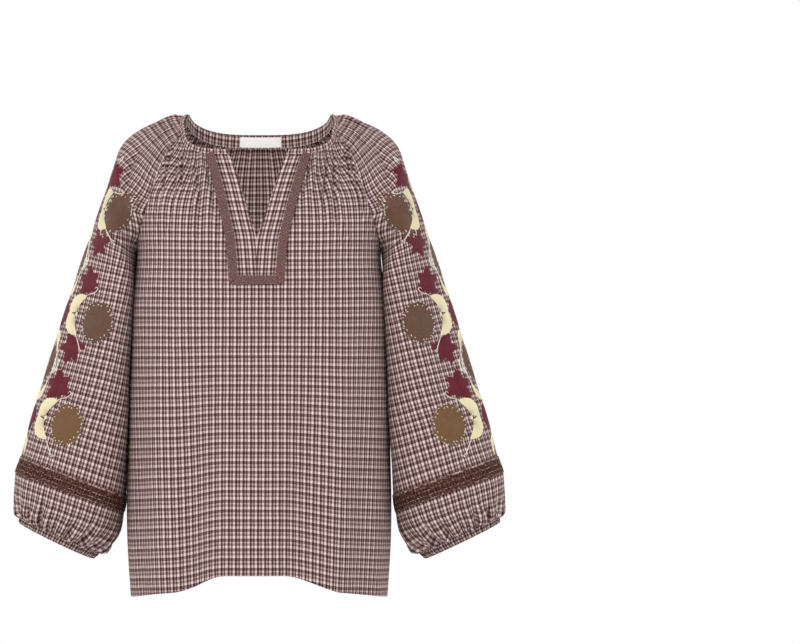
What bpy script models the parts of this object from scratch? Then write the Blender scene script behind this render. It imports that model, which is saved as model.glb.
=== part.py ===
"""A checked peasant blouse, filled out as if worn: gathered neckline with a slit and a trimmed placket,
raglan sleeves with a lace band, and elasticated cuffs.

The wearer's front faces -Y and the wearer's left side is +X. The origin is the point between the
shoulders where the wearer holds the blouse up. Sizes in the tables are in millimetres.
"""

import math
from collections import namedtuple

import bmesh
import bpy
from mathutils import Vector

MM = 0.001

WALL = 1.2
TRIM_WALL = 1.0
CUFF_WALL = 2.6
BINDING_WALL = 2.4
SEAM_GAP = 0.3
SLEEVE_CLEARANCE = 3.0
FOLD_ROOM = 0.9
SHARPEST_TURN = 60
SAME_PLACE = 0.02
FINE_STEPS = 96


def table(columns, *rows):
    """Rows of numbers, each with a name for every column."""
    row = namedtuple("row", columns)
    return [row(*numbers) for numbers in rows]


# The torso's level sections, from the neck down: each is a superellipse of that power.
TORSO = table(
    "z half_width front_y side_y back_y power",
    (20, 128, -36, 8, 40, 2.3),
    (-15, 142, -61, 5, 57, 2.4),
    (-45, 168, -80, 0, 71, 2.5),
    (-80, 185, -101, -5, 84, 2.6),
    (-113, 185, -124, -10, 96, 2.6),
    (-145, 178, -144, -14, 103, 2.6),
    (-190, 172, -159, -18, 109, 2.6),
    (-255, 177, -167, -20, 119, 2.5),
    (-326, 179, -174, -20, 127, 2.4),
    (-397, 182, -183, -19, 136, 2.3),
    (-468, 184, -190, -18, 144, 2.2),
    (-538, 187, -198, -17, 153, 2.1),
    (-600, 186, -203, -16, 160, 2.1),
    (-680, 181, -206, -15, 166, 2.1),
)

# The raglan seams as seen from the front, from the neckline to the armpit.
RAGLAN = table(
    "share front_x front_z back_x back_z",
    (0.0, 108, -20, 101, -7),
    (0.15, 127, -42, 118, -28),
    (0.3, 138, -69, 133, -56),
    (0.45, 147, -95, 145, -86),
    (0.6, 154, -117, 155, -114),
    (0.75, 161, -139, 163, -141),
    (0.9, 168.5, -168, 169, -169),
    (1.0, 172, -190, 172, -190),
)

# Rows of the yoke: share along the raglan seams, and the height of the row at centre front and back.
YOKE = table(
    "share front_z back_z",
    (0.0, -51, -27),
    (0.08, -63, -38),
    (0.2, -80, -55),
    (0.35, -101, -77),
    (0.5, -124, -101),
    (0.65, -148, -127),
    (0.73, -160, -140),
    (0.8, -171, -153),
    (0.88, -181, -166),
    (0.95, -188, -179),
    (1.0, -195, -188),
)
SLIT_ROW = 7

# Rows below the armpit, as a share of the fall from the armpit to the hem.
FALLS = (0.0567, 0.093, 0.2, 0.31, 0.42, 0.53, 0.64, 0.75, 0.87, 1.0)
PLACKET_ROWS = (11, 12)
PLACKET_COLUMNS = 3
ARMPIT_Z = -190
HEM_FRONT_Z = -637
HEM_SIDE_Z = -673
HEM_BACK_Z = -645
NECKLINE_POWER = 2.6

# How the hem drops from its centre to the side seam: shares of the drop, each between two angles.
HEM_DROPS = table(
    "share start end",
    (0.62, 11, 39),
    (0.38, 20, 88),
)

# Half widths, from the slit outwards, of the lines that run down the placket.
PLACKET = table(
    "z slit_x trim_inner_x trim_outer_x",
    (-30, 52, 72, 82),
    (-44, 44, 66, 76),
    (-60, 37, 60, 70.5),
    (-98, 23, 48.5, 59.5),
    (-143, 9, 37.5, 48.5),
    (-171, 0, 31, 42.5),
    (-215, 0, 27, 39),
    (-240, 0, 26, 38),
    (-320, 0, 26, 38),
    (-700, 0, 28, 42),
)

# Gathers: how many on half the front, on half the back, on a sleeve's head and round its cuff.
FRONT_GATHERS = 7
BACK_GATHERS = 8
HEAD_GATHERS = 8
CUFF_GATHERS = 20
BODY_GATHER_REACH = 95
BODY_GATHER_DEPTH = 2.2
HEAD_GATHER_REACH = 70
HEAD_GATHER_DEPTH = 1.6
CUFF_GATHER_DEPTH = 3.2
CUFF_RIPPLE = 0.8
HEAD_HEIGHT = 210
SLEEVE_COLUMNS = 40

# Folds, gathers and creases fade out near a seam: over degrees on the body, or shares of a row.
SIDE_SEAM_FADE = 22
GATHER_FADE = 0.07
CREASE_FADE = 0.05

# Long soft folds of the body: angle round from centre front, positive to the wearer's left.
BODY_FOLDS = table(
    "angle spread depth start_z full_z",
    (-27, 8, -8.0, -230, -520),
    (-10, 8, 3.5, -300, -560),
    (19, 7, -6.5, -260, -540),
    (36, 9, 4.0, -240, -560),
    (-46, 7, 3.5, -160, -480),
    (52, 8, -4.0, -180, -520),
    (-62, 6, -3.0, -240, -560),
    (124, 9, -5.0, -180, -520),
    (146, 8, 4.0, -160, -540),
    (166, 8, -5.5, -150, -520),
    (-176, 8, 3.5, -180, -560),
    (-158, 8, -6.0, -160, -540),
    (-138, 8, 4.0, -200, -560),
    (-120, 8, -4.5, -220, -520),
)

# The sleeve's head: where its top line runs, and how each row leaves the raglan seam (degrees from +X,
# positive towards the middle of the arm) with the lengths of the row's two handles.
HEAD = table(
    "share top_x top_y top_z turn seam_handle front_handle back_handle",
    (0.0, 109, 8, 5, 68, 19, 20, 20),
    (0.15, 128, 8, 2.5, 56, 26, 32, 32),
    (0.3, 149, 7, -5, 42, 34, 42, 42),
    (0.45, 169, 5, -14, 28, 38, 52, 54),
    (0.6, 187, 3, -27, 12, 40, 64, 70),
    (0.7, 198, 1, -42, -5, 44, 70, 82),
    (0.8, 207, -1, -68, -26, 58, 68, 92),
    (0.88, 217, -2, -104, -50, 76, 62, 92),
    (0.95, 229, -3, -138, -68, 98, 56, 90),
    (1.0, 240, -4, -166, -77, 150, 62, 88),
)

# How steeply the sleeve's head rises from the raglan seam near the neck.
SEAM_LIFT = 0.45

# The crease where the sleeve's head folds into the armpit: its place round the row, and its depth.
CREASE = table(
    "share place depth",
    (0.0, 0.34, 0.0),
    (0.35, 0.28, 2.0),
    (0.5, 0.22, 6.0),
    (0.65, 0.14, 5.0),
    (0.8, 0.08, 2.0),
    (0.9, 0.05, 0.0),
    (1.0, 0.05, 0.0),
)
CREASE_SPREAD = 0.04

# The sleeve's tube below the armpit: its inner and outer lines, how far it reaches to front and back,
# how full it is beside each line (the same for both makes a round ring, less outside a drop shape), and
# how far its inner side laps over the body in front and behind.
TUBE = table(
    "station inner_x inner_y inner_z outer_x outer_y outer_z front_y back_y inner_full outer_full lap",
    (0, 174, -18, -190, 240, -4, -166, -97, 86, 1.8, 0.7, 0),
    (1, 181, -13, -248, 261, -4, -228, -99, 90, 1.95, 0.5, 18),
    (2, 184, -9, -318, 282, -5, -292, -101, 91, 2.0, 0.4, 27),
    (3, 187, -7, -389, 302, -6, -356, -102, 91, 1.95, 0.45, 30),
    (4, 190, -7, -460, 321, -7, -416, -103, 90, 1.85, 0.6, 30),
    (5, 193, -8, -531, 337, -8, -475, -103, 88, 1.7, 0.8, 28),
    (6, 196, -8, -556, 345, -8, -499, -102, 86, 1.6, 0.95, 25),
    (7, 201, -7, -582, 346, -7, -527, -94, 80, 1.5, 1.1, 16),
    (8, 214, -5, -601, 343, -5, -547, -79, 69, 1.4, 1.25, 8),
    (9, 227, -4, -611, 338, -4, -561, -61, 53, 1.33, 1.33, 0),
    (10, 237, -4, -620, 338, -4, -571, -58, 50, 1.33, 1.33, 0),
)
BAND_STATIONS = (5, 6)
CUFF_STATIONS = (9, 9.5, 10)
TUBE_ROWS = (0.45, 1, 1.9, 2.9, 3.9, 5, 6, 6.6, 7.2, 7.8, 8.4, 9)

# Folds down the sleeve: place round the ring (0 and 1 at the inner seam, 0.5 at the top), from the
# station where each starts to the one where it ends.
SLEEVE_FOLDS = table(
    "place spread depth start end",
    (0.2, 0.035, -3.5, 0.6, 4.6),
    (0.3, 0.04, 3.0, 1.6, 5.4),
    (0.7, 0.04, -3.5, 0.6, 4.4),
    (0.8, 0.035, 3.0, 1.4, 5.2),
    (0.86, 0.03, -3.0, 2.0, 4.8),
    (0.13, 0.03, 2.5, 2.4, 5.0),
)
FOLD_ENDS = 1.2

CUFF_DROP = 1.6
BINDING_HEIGHT = 7.0
BINDING_FOOT = 2.5
BINDING_LIFT = 0.55
FACING_START = 2 * FRONT_GATHERS + 3
FACING_BELOW = 1.0
FACING_IN = 3.9
FACING_HEIGHT = 18.0
LABEL_WIDTH = 58.0
LABEL_DROP = 1.5
LABEL_HEIGHT = 15.0
LABEL_COLUMNS = 12

CHECK_COLOUR = (0.29, 0.19, 0.18, 1.0)
TRIM_COLOUR = (0.18, 0.09, 0.08, 1.0)
LACE_COLOUR = (0.15, 0.06, 0.045, 1.0)
LABEL_COLOUR = (0.9, 0.85, 0.84, 1.0)


def mix(low, high, share):
    return low + (high - low) * share


def ease(low, high, value):
    """0 before low, 1 after high and a smooth step between them."""
    share = min(1.0, max(0.0, (value - low) / (high - low)))
    return share * share * (3 - 2 * share)


def along(rows, value):
    """A row of a table at this value of its first column, on a smooth curve through its rows."""
    sign = 1 if rows[-1][0] > rows[0][0] else -1
    last = len(rows) - 2
    row = 0
    while row < last and sign * (value - rows[row + 1][0]) > 0:
        row += 1
    low, high = rows[row], rows[row + 1]
    before, after = rows[max(0, row - 1)], rows[min(last + 1, row + 2)]
    span = high[0] - low[0]
    share = min(1.0, max(0.0, (value - low[0]) / span))
    found = [value]
    for column in range(1, len(low)):
        slope_low = (high[column] - before[column]) / (high[0] - before[0]) * span
        slope_high = (after[column] - low[column]) / (after[0] - low[0]) * span
        square, cube = share**2, share**3
        found.append(
            low[column] * (2 * cube - 3 * square + 1)
            + high[column] * (3 * square - 2 * cube)
            + slope_low * (cube - 2 * square + share)
            + slope_high * (cube - square)
        )
    return type(low)(*found)


def torso_point(angle, z):
    """A point of the torso's surface: angle 0 is centre front, 90 the wearer's left side, 180 centre back."""
    section = along(TORSO, z)
    sine, cosine = math.sin(math.radians(angle)), math.cos(math.radians(angle))
    x = math.copysign(section.half_width * abs(sine) ** (2 / section.power), sine)
    depth = (section.front_y if cosine > 0 else section.back_y) - section.side_y
    return Vector((x, section.side_y + depth * abs(cosine) ** (2 / section.power), z))


def torso_angle(x, z):
    """The angle, under 90 degrees, at which the torso is x wide at this height."""
    section = along(TORSO, z)
    return math.degrees(math.asin(min(1.0, x / section.half_width) ** (section.power / 2)))


def fold_depth(angle, z):
    """How far the body's long folds move the cloth out at this place."""
    out = 0.0
    for fold in BODY_FOLDS:
        away = (angle - fold.angle + 180) % 360 - 180
        shape = math.exp(-((away / fold.spread) ** 2))
        out += fold.depth * shape * ease(-fold.start_z, -fold.full_z, -z)
    return out * ease(0, SIDE_SEAM_FADE, abs(abs(angle) - 90))


def gather_depth(share, count, drop, reach, depth):
    """Gathers that start at a sewn edge: share across them, and drop down from the edge."""
    number = int(share * count)
    uneven = 0.7 + 0.3 * math.sin(2.4 * number + 1.0)
    length = reach * (0.75 + 0.35 * math.sin(1.7 * number + 0.4))
    wave = math.cos(2 * math.pi * count * share)
    edges = ease(0.0, GATHER_FADE, share) * ease(0.0, GATHER_FADE, 1 - share)
    rise = mix(0.55, 1.0, ease(0, 0.2 * reach, drop))
    return depth * uneven * wave * edges * rise * (1 - ease(0.25 * length, length, drop))


def row_profile(angle, fall):
    """How much of a body row's drop from its centre to its side is reached at this angle."""
    even = (angle / 90) ** 2
    hem = sum(part.share * ease(part.start, part.end, angle) for part in HEM_DROPS)
    return mix(even, hem, ease(0.1, 0.9, fall))


def front_half_row(row, side):
    """One row of half the front, from the slit or centre to the seam. side is 1 for the wearer's left."""
    yoke = row < len(YOKE)
    fall = 0.0 if yoke else FALLS[row - len(YOKE)]
    if yoke:
        centre_z = YOKE[row].front_z
        seam = along(RAGLAN, YOKE[row].share)
        seam_z = seam.front_z
        end_angle = 90.0 if row == len(YOKE) - 1 else torso_angle(seam.front_x, seam_z)
        rise_power = mix(NECKLINE_POWER, 2.0, ease(0.0, 0.4, YOKE[row].share))
    else:
        centre_z = mix(YOKE[-1].front_z, HEM_FRONT_Z, fall)
        seam_z = mix(ARMPIT_Z, HEM_SIDE_Z, fall)
        end_angle = 90.0
    lines = along(PLACKET, centre_z)
    slit_x = lines.slit_x if row < SLIT_ROW else 0.0
    starts = [torso_angle(x, centre_z) for x in (slit_x, lines.trim_inner_x, lines.trim_outer_x)]
    starts.insert(1, (starts[0] + starts[1]) / 2)
    columns = 2 * FRONT_GATHERS
    angles = starts + [mix(starts[-1], end_angle, (i + 1) / columns) for i in range(columns)]
    points = []
    for number, angle in enumerate(angles):
        if yoke:
            reached = ((angle - angles[0]) / (end_angle - angles[0])) ** rise_power
        else:
            reached = row_profile(angle, fall)
        z = mix(centre_z, seam_z, reached)
        gathered = (number - PLACKET_COLUMNS) / columns
        out = fold_depth(side * angle, z)
        if gathered > 0:
            drop = YOKE[0].front_z - centre_z
            out += gather_depth(gathered, FRONT_GATHERS, drop, BODY_GATHER_REACH, BODY_GATHER_DEPTH)
        points.append((side * angle, z, out))
    return points


def back_half_row(row, side):
    """One row of half the back, from the centre to the seam."""
    yoke = row < len(YOKE)
    fall = 0.0 if yoke else FALLS[row - len(YOKE)]
    if yoke:
        centre_z = YOKE[row].back_z
        seam = along(RAGLAN, YOKE[row].share)
        seam_z = seam.back_z
        end_angle = 90.0 if row == len(YOKE) - 1 else torso_angle(seam.back_x, seam_z)
    else:
        centre_z = mix(YOKE[-1].back_z, HEM_BACK_Z, fall)
        seam_z = mix(ARMPIT_Z, HEM_SIDE_Z, fall)
        end_angle = 90.0
    columns = 2 * BACK_GATHERS
    drop = YOKE[0].back_z - centre_z
    points = []
    for number in range(columns + 1):
        share_across = number / columns
        angle = end_angle * share_across
        reached = share_across**2.2 if yoke else row_profile(angle, fall)
        z = mix(centre_z, seam_z, reached)
        round_angle = side * (180 - angle)
        out = fold_depth(round_angle, z)
        out += gather_depth(share_across, BACK_GATHERS, drop, BODY_GATHER_REACH, BODY_GATHER_DEPTH)
        points.append((round_angle, z, out))
    return points


def torso_normal(angle, z):
    """The torso surface's outward direction."""
    step = 1.0
    round_step = torso_point(angle + step, z) - torso_point(angle - step, z)
    up_step = torso_point(angle, z + step) - torso_point(angle, z - step)
    return round_step.cross(up_step).normalized()


def placed(row, out=0.0):
    """The points of a row of (angle, z, depth) in the order of their angles, moved out by depth and by out."""
    ordered = row if row[-1][0] > row[0][0] else row[::-1]
    return [torso_point(a, z) + torso_normal(a, z) * (depth + out) for a, z, depth in ordered]


def bezier(start, first, second, end, share):
    rest = 1 - share
    return (
        start * rest**3
        + first * (3 * rest**2 * share)
        + second * (3 * rest * share**2)
        + end * share**3
    )


def spaced_curve(start, first, second, end, count):
    """count + 1 points spaced evenly along a curve."""
    fine = [bezier(start, first, second, end, i / FINE_STEPS) for i in range(FINE_STEPS + 1)]
    lengths = [0.0]
    for before, after in zip(fine, fine[1:]):
        lengths.append(lengths[-1] + (after - before).length)
    found, place = [], 0
    for i in range(count + 1):
        wanted = lengths[-1] * i / count
        while place < FINE_STEPS - 1 and lengths[place + 1] < wanted:
            place += 1
        span = lengths[place + 1] - lengths[place]
        found.append(fine[place].lerp(fine[place + 1], min(1.0, (wanted - lengths[place]) / span)))
    return found


def head_row(share):
    """A row of the left sleeve's head, from the front raglan seam over the top to the back one."""
    seams = along(RAGLAN, share)
    head = along(HEAD, share)
    front_angle = 90.0 if share == 1.0 else torso_angle(seams.front_x, seams.front_z)
    back_angle = 90.0 if share == 1.0 else torso_angle(seams.back_x, seams.back_z)
    top = Vector((head.top_x, head.top_y, head.top_z))
    turn = math.radians(head.turn)
    lift = SEAM_LIFT * (1 - ease(0.0, 0.8, share))
    halves = []
    for seam, way, top_handle in (
        (torso_point(front_angle, seams.front_z), 1, head.front_handle),
        (torso_point(180 - back_angle, seams.back_z), -1, head.back_handle),
    ):
        leave = seam + Vector((math.cos(turn), way * math.sin(turn), lift)) * head.seam_handle
        arrive = top - Vector((0, way * top_handle, 0))
        halves.append(spaced_curve(seam, leave, arrive, top, SLEEVE_COLUMNS // 2))
    return halves[0] + halves[1][-2::-1]


def tube_row(station):
    """A ring of the left sleeve below the armpit, from the inner seam by the front round to it again."""
    ring = along(TUBE, station)
    inner = Vector((ring.inner_x, ring.inner_y, ring.inner_z))
    top = Vector((ring.outer_x, ring.outer_y, ring.outer_z))
    halves = []
    for reach_y in (ring.front_y, ring.back_y):
        reach = Vector((0, reach_y - (ring.inner_y + ring.outer_y) / 2, 0))
        leave = inner + reach * ring.inner_full - Vector((ring.lap, 0, 0))
        arrive = top + reach * ring.outer_full
        halves.append(spaced_curve(inner, leave, arrive, top, SLEEVE_COLUMNS // 2))
    return halves[0] + halves[1][-2::-1]


def sleeve_depth(place, row_share, station):
    """How far the sleeve's cloth moves out: gathers at the neck and the cuff, folds and the armpit crease."""
    out = 0.0
    if station <= 0:
        drop = HEAD_HEIGHT * row_share
        out += gather_depth(place, HEAD_GATHERS, drop, HEAD_GATHER_REACH, HEAD_GATHER_DEPTH)
        crease = along(CREASE, row_share)
        sewn = ease(0, CREASE_FADE, place) * ease(0, CREASE_FADE, 1 - place)
        for centre in (crease.place, 1 - crease.place):
            out -= sewn * crease.depth * math.exp(-(((place - centre) / CREASE_SPREAD) ** 2))
        return out
    for fold in SLEEVE_FOLDS:
        grow = ease(fold.start, fold.start + FOLD_ENDS, station)
        grow *= 1 - ease(fold.end - FOLD_ENDS, fold.end, station)
        out += fold.depth * grow * math.exp(-(((place - fold.place) / fold.spread) ** 2))
    number = int(place * CUFF_GATHERS)
    uneven = 0.75 + 0.25 * math.sin(2.1 * number + 0.7)
    deepen = ease(6.0, 8.3, station) * mix(1.0, 0.5, ease(8.3, 9.0, station))
    wave = math.cos(2 * math.pi * CUFF_GATHERS * place)
    return out + CUFF_GATHER_DEPTH * uneven * deepen * wave


def ring_normals(rows, number, closed):
    """The outward direction at each point of one row of a grid of points."""
    above, below = rows[max(0, number - 1)], rows[min(len(rows) - 1, number + 1)]
    row = rows[number]
    last = len(row) - 1
    found = []
    for i in range(last + 1):
        before = row[i - 1] if i else row[last - 1 if closed else 0]
        after = row[i + 1] if i < last else row[1 if closed else last]
        found.append((after - before).cross(above[i] - below[i]).normalized())
    return found


def sleeve_rows():
    """The left sleeve's rows without folds, with the share down the head and the station of each."""
    rows = [(head_row(row.share), row.share, 0.0) for row in YOKE]
    return rows + [(tube_row(station), 1.0, station) for station in TUBE_ROWS]


def folded_sleeve(out=0.0, stations=None):
    """The left sleeve's rows moved out by their folds and by out, all of them or those of some stations."""
    plain = sleeve_rows()
    grid = [row for row, _, _ in plain]
    found = []
    for number, (row, share, station) in enumerate(plain):
        if stations and station not in stations:
            continue
        closed = station > 0
        normals = ring_normals(grid, number, closed)
        moved = []
        for i, (point, normal) in enumerate(zip(row, normals)):
            place = i / SLEEVE_COLUMNS
            moved.append(point + normal * (sleeve_depth(place, share, station) + out))
        if closed:
            moved[-1] = moved[0].copy()
        found.append(moved)
    return found


def mirrored(rows):
    """The same rows for the wearer's right side."""
    return [[Vector((-p.x, p.y, p.z)) for p in reversed(row)] for row in rows]


def material(name, colour, roughness):
    made = bpy.data.materials.new(name)
    made.use_nodes = True
    shader = made.node_tree.nodes["Principled BSDF"]
    shader.inputs["Base Color"].default_value = colour
    shader.inputs["Roughness"].default_value = roughness
    made.diffuse_color = colour
    return made


def middle_surface(grids):
    """One surface through the points of one or more grids that share an edge."""
    shape = bmesh.new()
    for rows in grids:
        corners = [[shape.verts.new(point) for point in row] for row in rows]
        for upper, lower in zip(corners, corners[1:]):
            for i in range(len(upper) - 1):
                shape.faces.new((upper[i], lower[i], lower[i + 1], upper[i + 1]))
    bmesh.ops.remove_doubles(shape, verts=shape.verts, dist=SAME_PLACE)
    bmesh.ops.triangulate(shape, faces=shape.faces, quad_method="SHORT_EDGE")
    shape.normal_update()
    return shape


def spot(vertex):
    """The name under which pieces that meet find the same point of a seam."""
    return tuple(round(value, 1) for value in vertex.co)


def seam_normals(shapes):
    """The normals of all pieces at each edge point, by its spot."""
    found = {}
    for shape in shapes:
        for vertex in shape.verts:
            if vertex.is_boundary:
                found.setdefault(spot(vertex), []).append(vertex.normal.copy())
    return found


def seam_place(vertex, normals, seams):
    """Where a seam's point stands in one of the pieces that meet there, so that their walls stay apart.

    A piece is drawn back from the seam, further where the walls meet at an angle. Where the seam is
    folded tight the pieces stand beside each other.
    """
    into = Vector()
    for edge in vertex.link_edges:
        other = edge.other_vert(vertex)
        if len(seams.get(spot(other), [])) < 2:
            into += (other.co - vertex.co).normalized()
    shared = sum(normals, Vector()).normalized()
    turn = min(math.radians(SHARPEST_TURN), shared.angle(vertex.normal))
    folded = max(ease(-0.3, 0.8, -vertex.normal.dot(normal)) for normal in normals)
    back = SEAM_GAP / 2 + WALL / 2 * math.tan(turn)
    return vertex.co + into * back - vertex.normal * FOLD_ROOM * folded


def wall(name, shape, thickness, finish, collection, seams=None):
    """A wall of cloth about a surface, which becomes a shell with a Solidify modifier."""
    seams = seams or {}
    moved = {}
    for vertex in shape.verts:
        normals = seams.get(spot(vertex), [])
        if len(normals) > 1:
            moved[vertex] = seam_place(vertex, normals, seams)
    for vertex, place in moved.items():
        vertex.co = place
    bmesh.ops.scale(shape, vec=(MM, MM, MM), verts=shape.verts)
    mesh = bpy.data.meshes.new(name)
    shape.to_mesh(mesh)
    shape.free()
    mesh.shade_smooth()
    mesh.materials.append(finish)
    piece = bpy.data.objects.new(name, mesh)
    collection.objects.link(piece)
    shell = piece.modifiers.new("cloth", "SOLIDIFY")
    shell.thickness = thickness * MM
    shell.offset = 0.0


def cloth(name, grids, thickness, finish, collection):
    wall(name, middle_surface(grids), thickness, finish, collection)


def panel_halves(half_row):
    """The two halves of the front or back, each a grid from the centre to the seams."""
    rows = range(len(YOKE) + len(FALLS))
    return [[placed(half_row(row, side)) for row in rows] for side in (1, -1)]


def sleeve_grid():
    """The left sleeve's rows, with the armpit row drawn away from the body's walls."""
    rows = folded_sleeve()
    armpit = rows[len(YOKE) - 1]
    armpit[0] += Vector((SLEEVE_CLEARANCE, 0, -SLEEVE_CLEARANCE / 2))
    armpit[-1] = armpit[0].copy()
    return rows


def build_main_pieces(finish, collection):
    """The four pieces that meet at the raglan and side seams."""
    sleeve = sleeve_grid()
    shapes = {
        "front_panel": middle_surface(panel_halves(front_half_row)),
        "back_panel": middle_surface(panel_halves(back_half_row)),
        "sleeve_left": middle_surface([sleeve]),
        "sleeve_right": middle_surface([mirrored(sleeve)]),
    }
    seams = seam_normals(shapes.values())
    for name, shape in shapes.items():
        wall(name, shape, WALL, finish, collection, seams)


def build_bands(finish, collection):
    """The lace bands, made from the sleeves' own points."""
    out = WALL / 2 + SEAM_GAP + TRIM_WALL / 2
    rows = folded_sleeve(out, BAND_STATIONS)
    cloth("lace_band_left", [rows], TRIM_WALL, finish, collection)
    cloth("lace_band_right", [mirrored(rows)], TRIM_WALL, finish, collection)


def build_cuffs(finish, collection):
    """Elastic casings, each starting a seam's gap below its sleeve and rippled like its gathers."""
    plain = [tube_row(station) for station in CUFF_STATIONS]
    down = (plain[1][0] - plain[0][0]).normalized()
    plain[0] = [point + down * CUFF_DROP for point in plain[0]]
    rows = []
    for number, row in enumerate(plain):
        normals = ring_normals(plain, number, True)
        moved = []
        for i, (point, normal) in enumerate(zip(row, normals)):
            wave = math.cos(2 * math.pi * CUFF_GATHERS * i / SLEEVE_COLUMNS)
            moved.append(point + normal * (CUFF_RIPPLE * wave))
        moved[-1] = moved[0].copy()
        rows.append(moved)
    cloth("cuff_left", [rows], CUFF_WALL, finish, collection)
    cloth("cuff_right", [mirrored(rows)], CUFF_WALL, finish, collection)


def placket_grids(columns, first_row, last_row, out):
    """Part of both front halves between two of their lines, moved out from the panel."""
    grids = []
    for side in (1, -1):
        rows = []
        for row in range(first_row, last_row + 1):
            points = front_half_row(row, side)[columns[0] : columns[1] + 1]
            rows.append(placed(points, out))
        grids.append(rows)
    return grids


def build_placket(finish, trim, collection):
    """The placket lies on the front panel, and the trim on the placket's edge."""
    step = (WALL + TRIM_WALL) / 2 + SEAM_GAP
    cloth("placket", placket_grids((0, 3), 0, PLACKET_ROWS[1], step), TRIM_WALL, finish, collection)
    over = step + TRIM_WALL + SEAM_GAP
    sides = placket_grids((2, 3), 0, PLACKET_ROWS[0], over)
    foot = placket_grids((0, 3), PLACKET_ROWS[0], PLACKET_ROWS[1], over)
    cloth("placket_trim", sides + foot, TRIM_WALL, trim, collection)


def neck_rows():
    """The two highest rows of all panels, without gathers, from the slit's left edge round to its right."""
    found = []
    for row in (0, 1):
        front = [(a, z, 0.0) for a, z, _ in front_half_row(row, 1)]
        back = [(a, z, 0.0) for a, z, _ in back_half_row(row, 1)]
        left = placed(front)[:-1] + head_row(YOKE[row].share)[::4] + placed(back)[1:]
        found.append(left + [Vector((-p.x, p.y, p.z)) for p in left[-2::-1]])
    return found


def neck_directions():
    """At each place of the neckline: the point, where the cloth points there, and where its edge turns up to."""
    upper, lower = neck_rows()
    found = []
    for high, low in zip(upper, lower):
        way = (high - low).normalized()
        found.append((high, way, (way + Vector((0, 0, BINDING_LIFT))).normalized()))
    return found


def build_binding(finish, collection):
    """The neckline's binding, from one edge of the slit round the back to the other."""
    rows = [[], [], []]
    for point, way, turned in neck_directions():
        foot = point + way * 2 * SEAM_GAP
        bend = foot + way * BINDING_FOOT
        rows[0].append(bend + turned * (BINDING_HEIGHT - BINDING_FOOT))
        rows[1].append(bend)
        rows[2].append(foot)
    cloth("neck_binding", [rows], BINDING_WALL, finish, collection)


def inward(point):
    """The level direction from a neckline point to the middle of the neck."""
    return Vector((-point.x, -10 - point.y, 0)).normalized()


def at_width(row, x):
    """The point of a row, which runs from the wearer's left to the right, at this distance to the left."""
    for left, right in zip(row, row[1:]):
        if left.x >= x >= right.x:
            return left.lerp(right, (left.x - x) / (left.x - right.x))
    return row[-1]


def build_facing(finish, label_finish, collection):
    """The facing inside the neck, and the blank label that is sewn to it at centre back."""
    around = neck_directions()
    around = around[FACING_START : len(around) - FACING_START]
    top, foot = [], []
    for point, _, way in around:
        edge = point + way * (BINDING_HEIGHT - FACING_BELOW) + inward(point) * FACING_IN
        top.append(edge)
        foot.append(edge - way * FACING_HEIGHT / 3 + inward(point) * 2 - Vector((0, 0, FACING_HEIGHT * 2 / 3)))
    cloth("neck_facing", [[top, foot]], TRIM_WALL, finish, collection)

    before = Vector((0, -(TRIM_WALL + SEAM_GAP), 0))
    rows = []
    for drop in (LABEL_DROP, LABEL_DROP + LABEL_HEIGHT):
        row = []
        for i in range(LABEL_COLUMNS + 1):
            x = mix(LABEL_WIDTH / 2, -LABEL_WIDTH / 2, i / LABEL_COLUMNS)
            row.append(at_width(top, x).lerp(at_width(foot, x), drop / FACING_HEIGHT) + before)
        rows.append(row)
    cloth("neck_label", [rows], TRIM_WALL, label_finish, collection)


def main():
    for old in list(bpy.data.objects):
        bpy.data.objects.remove(old)
    collection = bpy.data.collections.new("blouse")
    bpy.context.scene.collection.children.link(collection)
    check = material("checked_cotton", CHECK_COLOUR, 0.85)
    trim = material("trim_braid", TRIM_COLOUR, 0.8)
    lace = material("lace_braid", LACE_COLOUR, 0.8)
    label = material("blank_label", LABEL_COLOUR, 0.7)
    build_main_pieces(check, collection)
    build_bands(lace, collection)
    build_cuffs(check, collection)
    build_placket(check, trim, collection)
    build_binding(check, collection)
    build_facing(check, label, collection)


main()
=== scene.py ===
from collections import namedtuple

import bmesh
import bpy
import numpy as np
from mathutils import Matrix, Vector


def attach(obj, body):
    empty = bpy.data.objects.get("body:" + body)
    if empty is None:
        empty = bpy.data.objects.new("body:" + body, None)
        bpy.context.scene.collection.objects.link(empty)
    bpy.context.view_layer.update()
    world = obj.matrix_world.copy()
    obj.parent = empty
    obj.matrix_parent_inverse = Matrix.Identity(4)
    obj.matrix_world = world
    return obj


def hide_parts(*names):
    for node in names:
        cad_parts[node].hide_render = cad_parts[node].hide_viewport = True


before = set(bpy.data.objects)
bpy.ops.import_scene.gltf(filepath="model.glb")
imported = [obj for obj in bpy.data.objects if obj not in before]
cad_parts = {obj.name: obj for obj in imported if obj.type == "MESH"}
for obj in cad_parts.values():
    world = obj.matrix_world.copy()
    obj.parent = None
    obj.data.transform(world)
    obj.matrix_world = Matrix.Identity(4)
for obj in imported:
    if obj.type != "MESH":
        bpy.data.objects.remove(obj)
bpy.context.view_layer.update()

# Sizes are in millimetres, and turned into metres when a mesh is made.
# The wearer's front faces -Y and the wearer's left side is +X.
MM = 0.001
CLOTH = 0.5
BRAID = 0.9
CLOTH_OUT = 0.25
PLACKET_OUT = 1.1
TRIM_OUT = 2.2
TURN = 2 * np.pi


def table(columns, *rows):
    """Rows of numbers, each with a name for every column."""
    row = namedtuple("row", columns)
    return [row(*numbers) for numbers in rows]


def named(columns, *rows):
    """A table whose rows are found by their first value."""
    return {row[0]: row for row in table(columns, *rows)}


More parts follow.
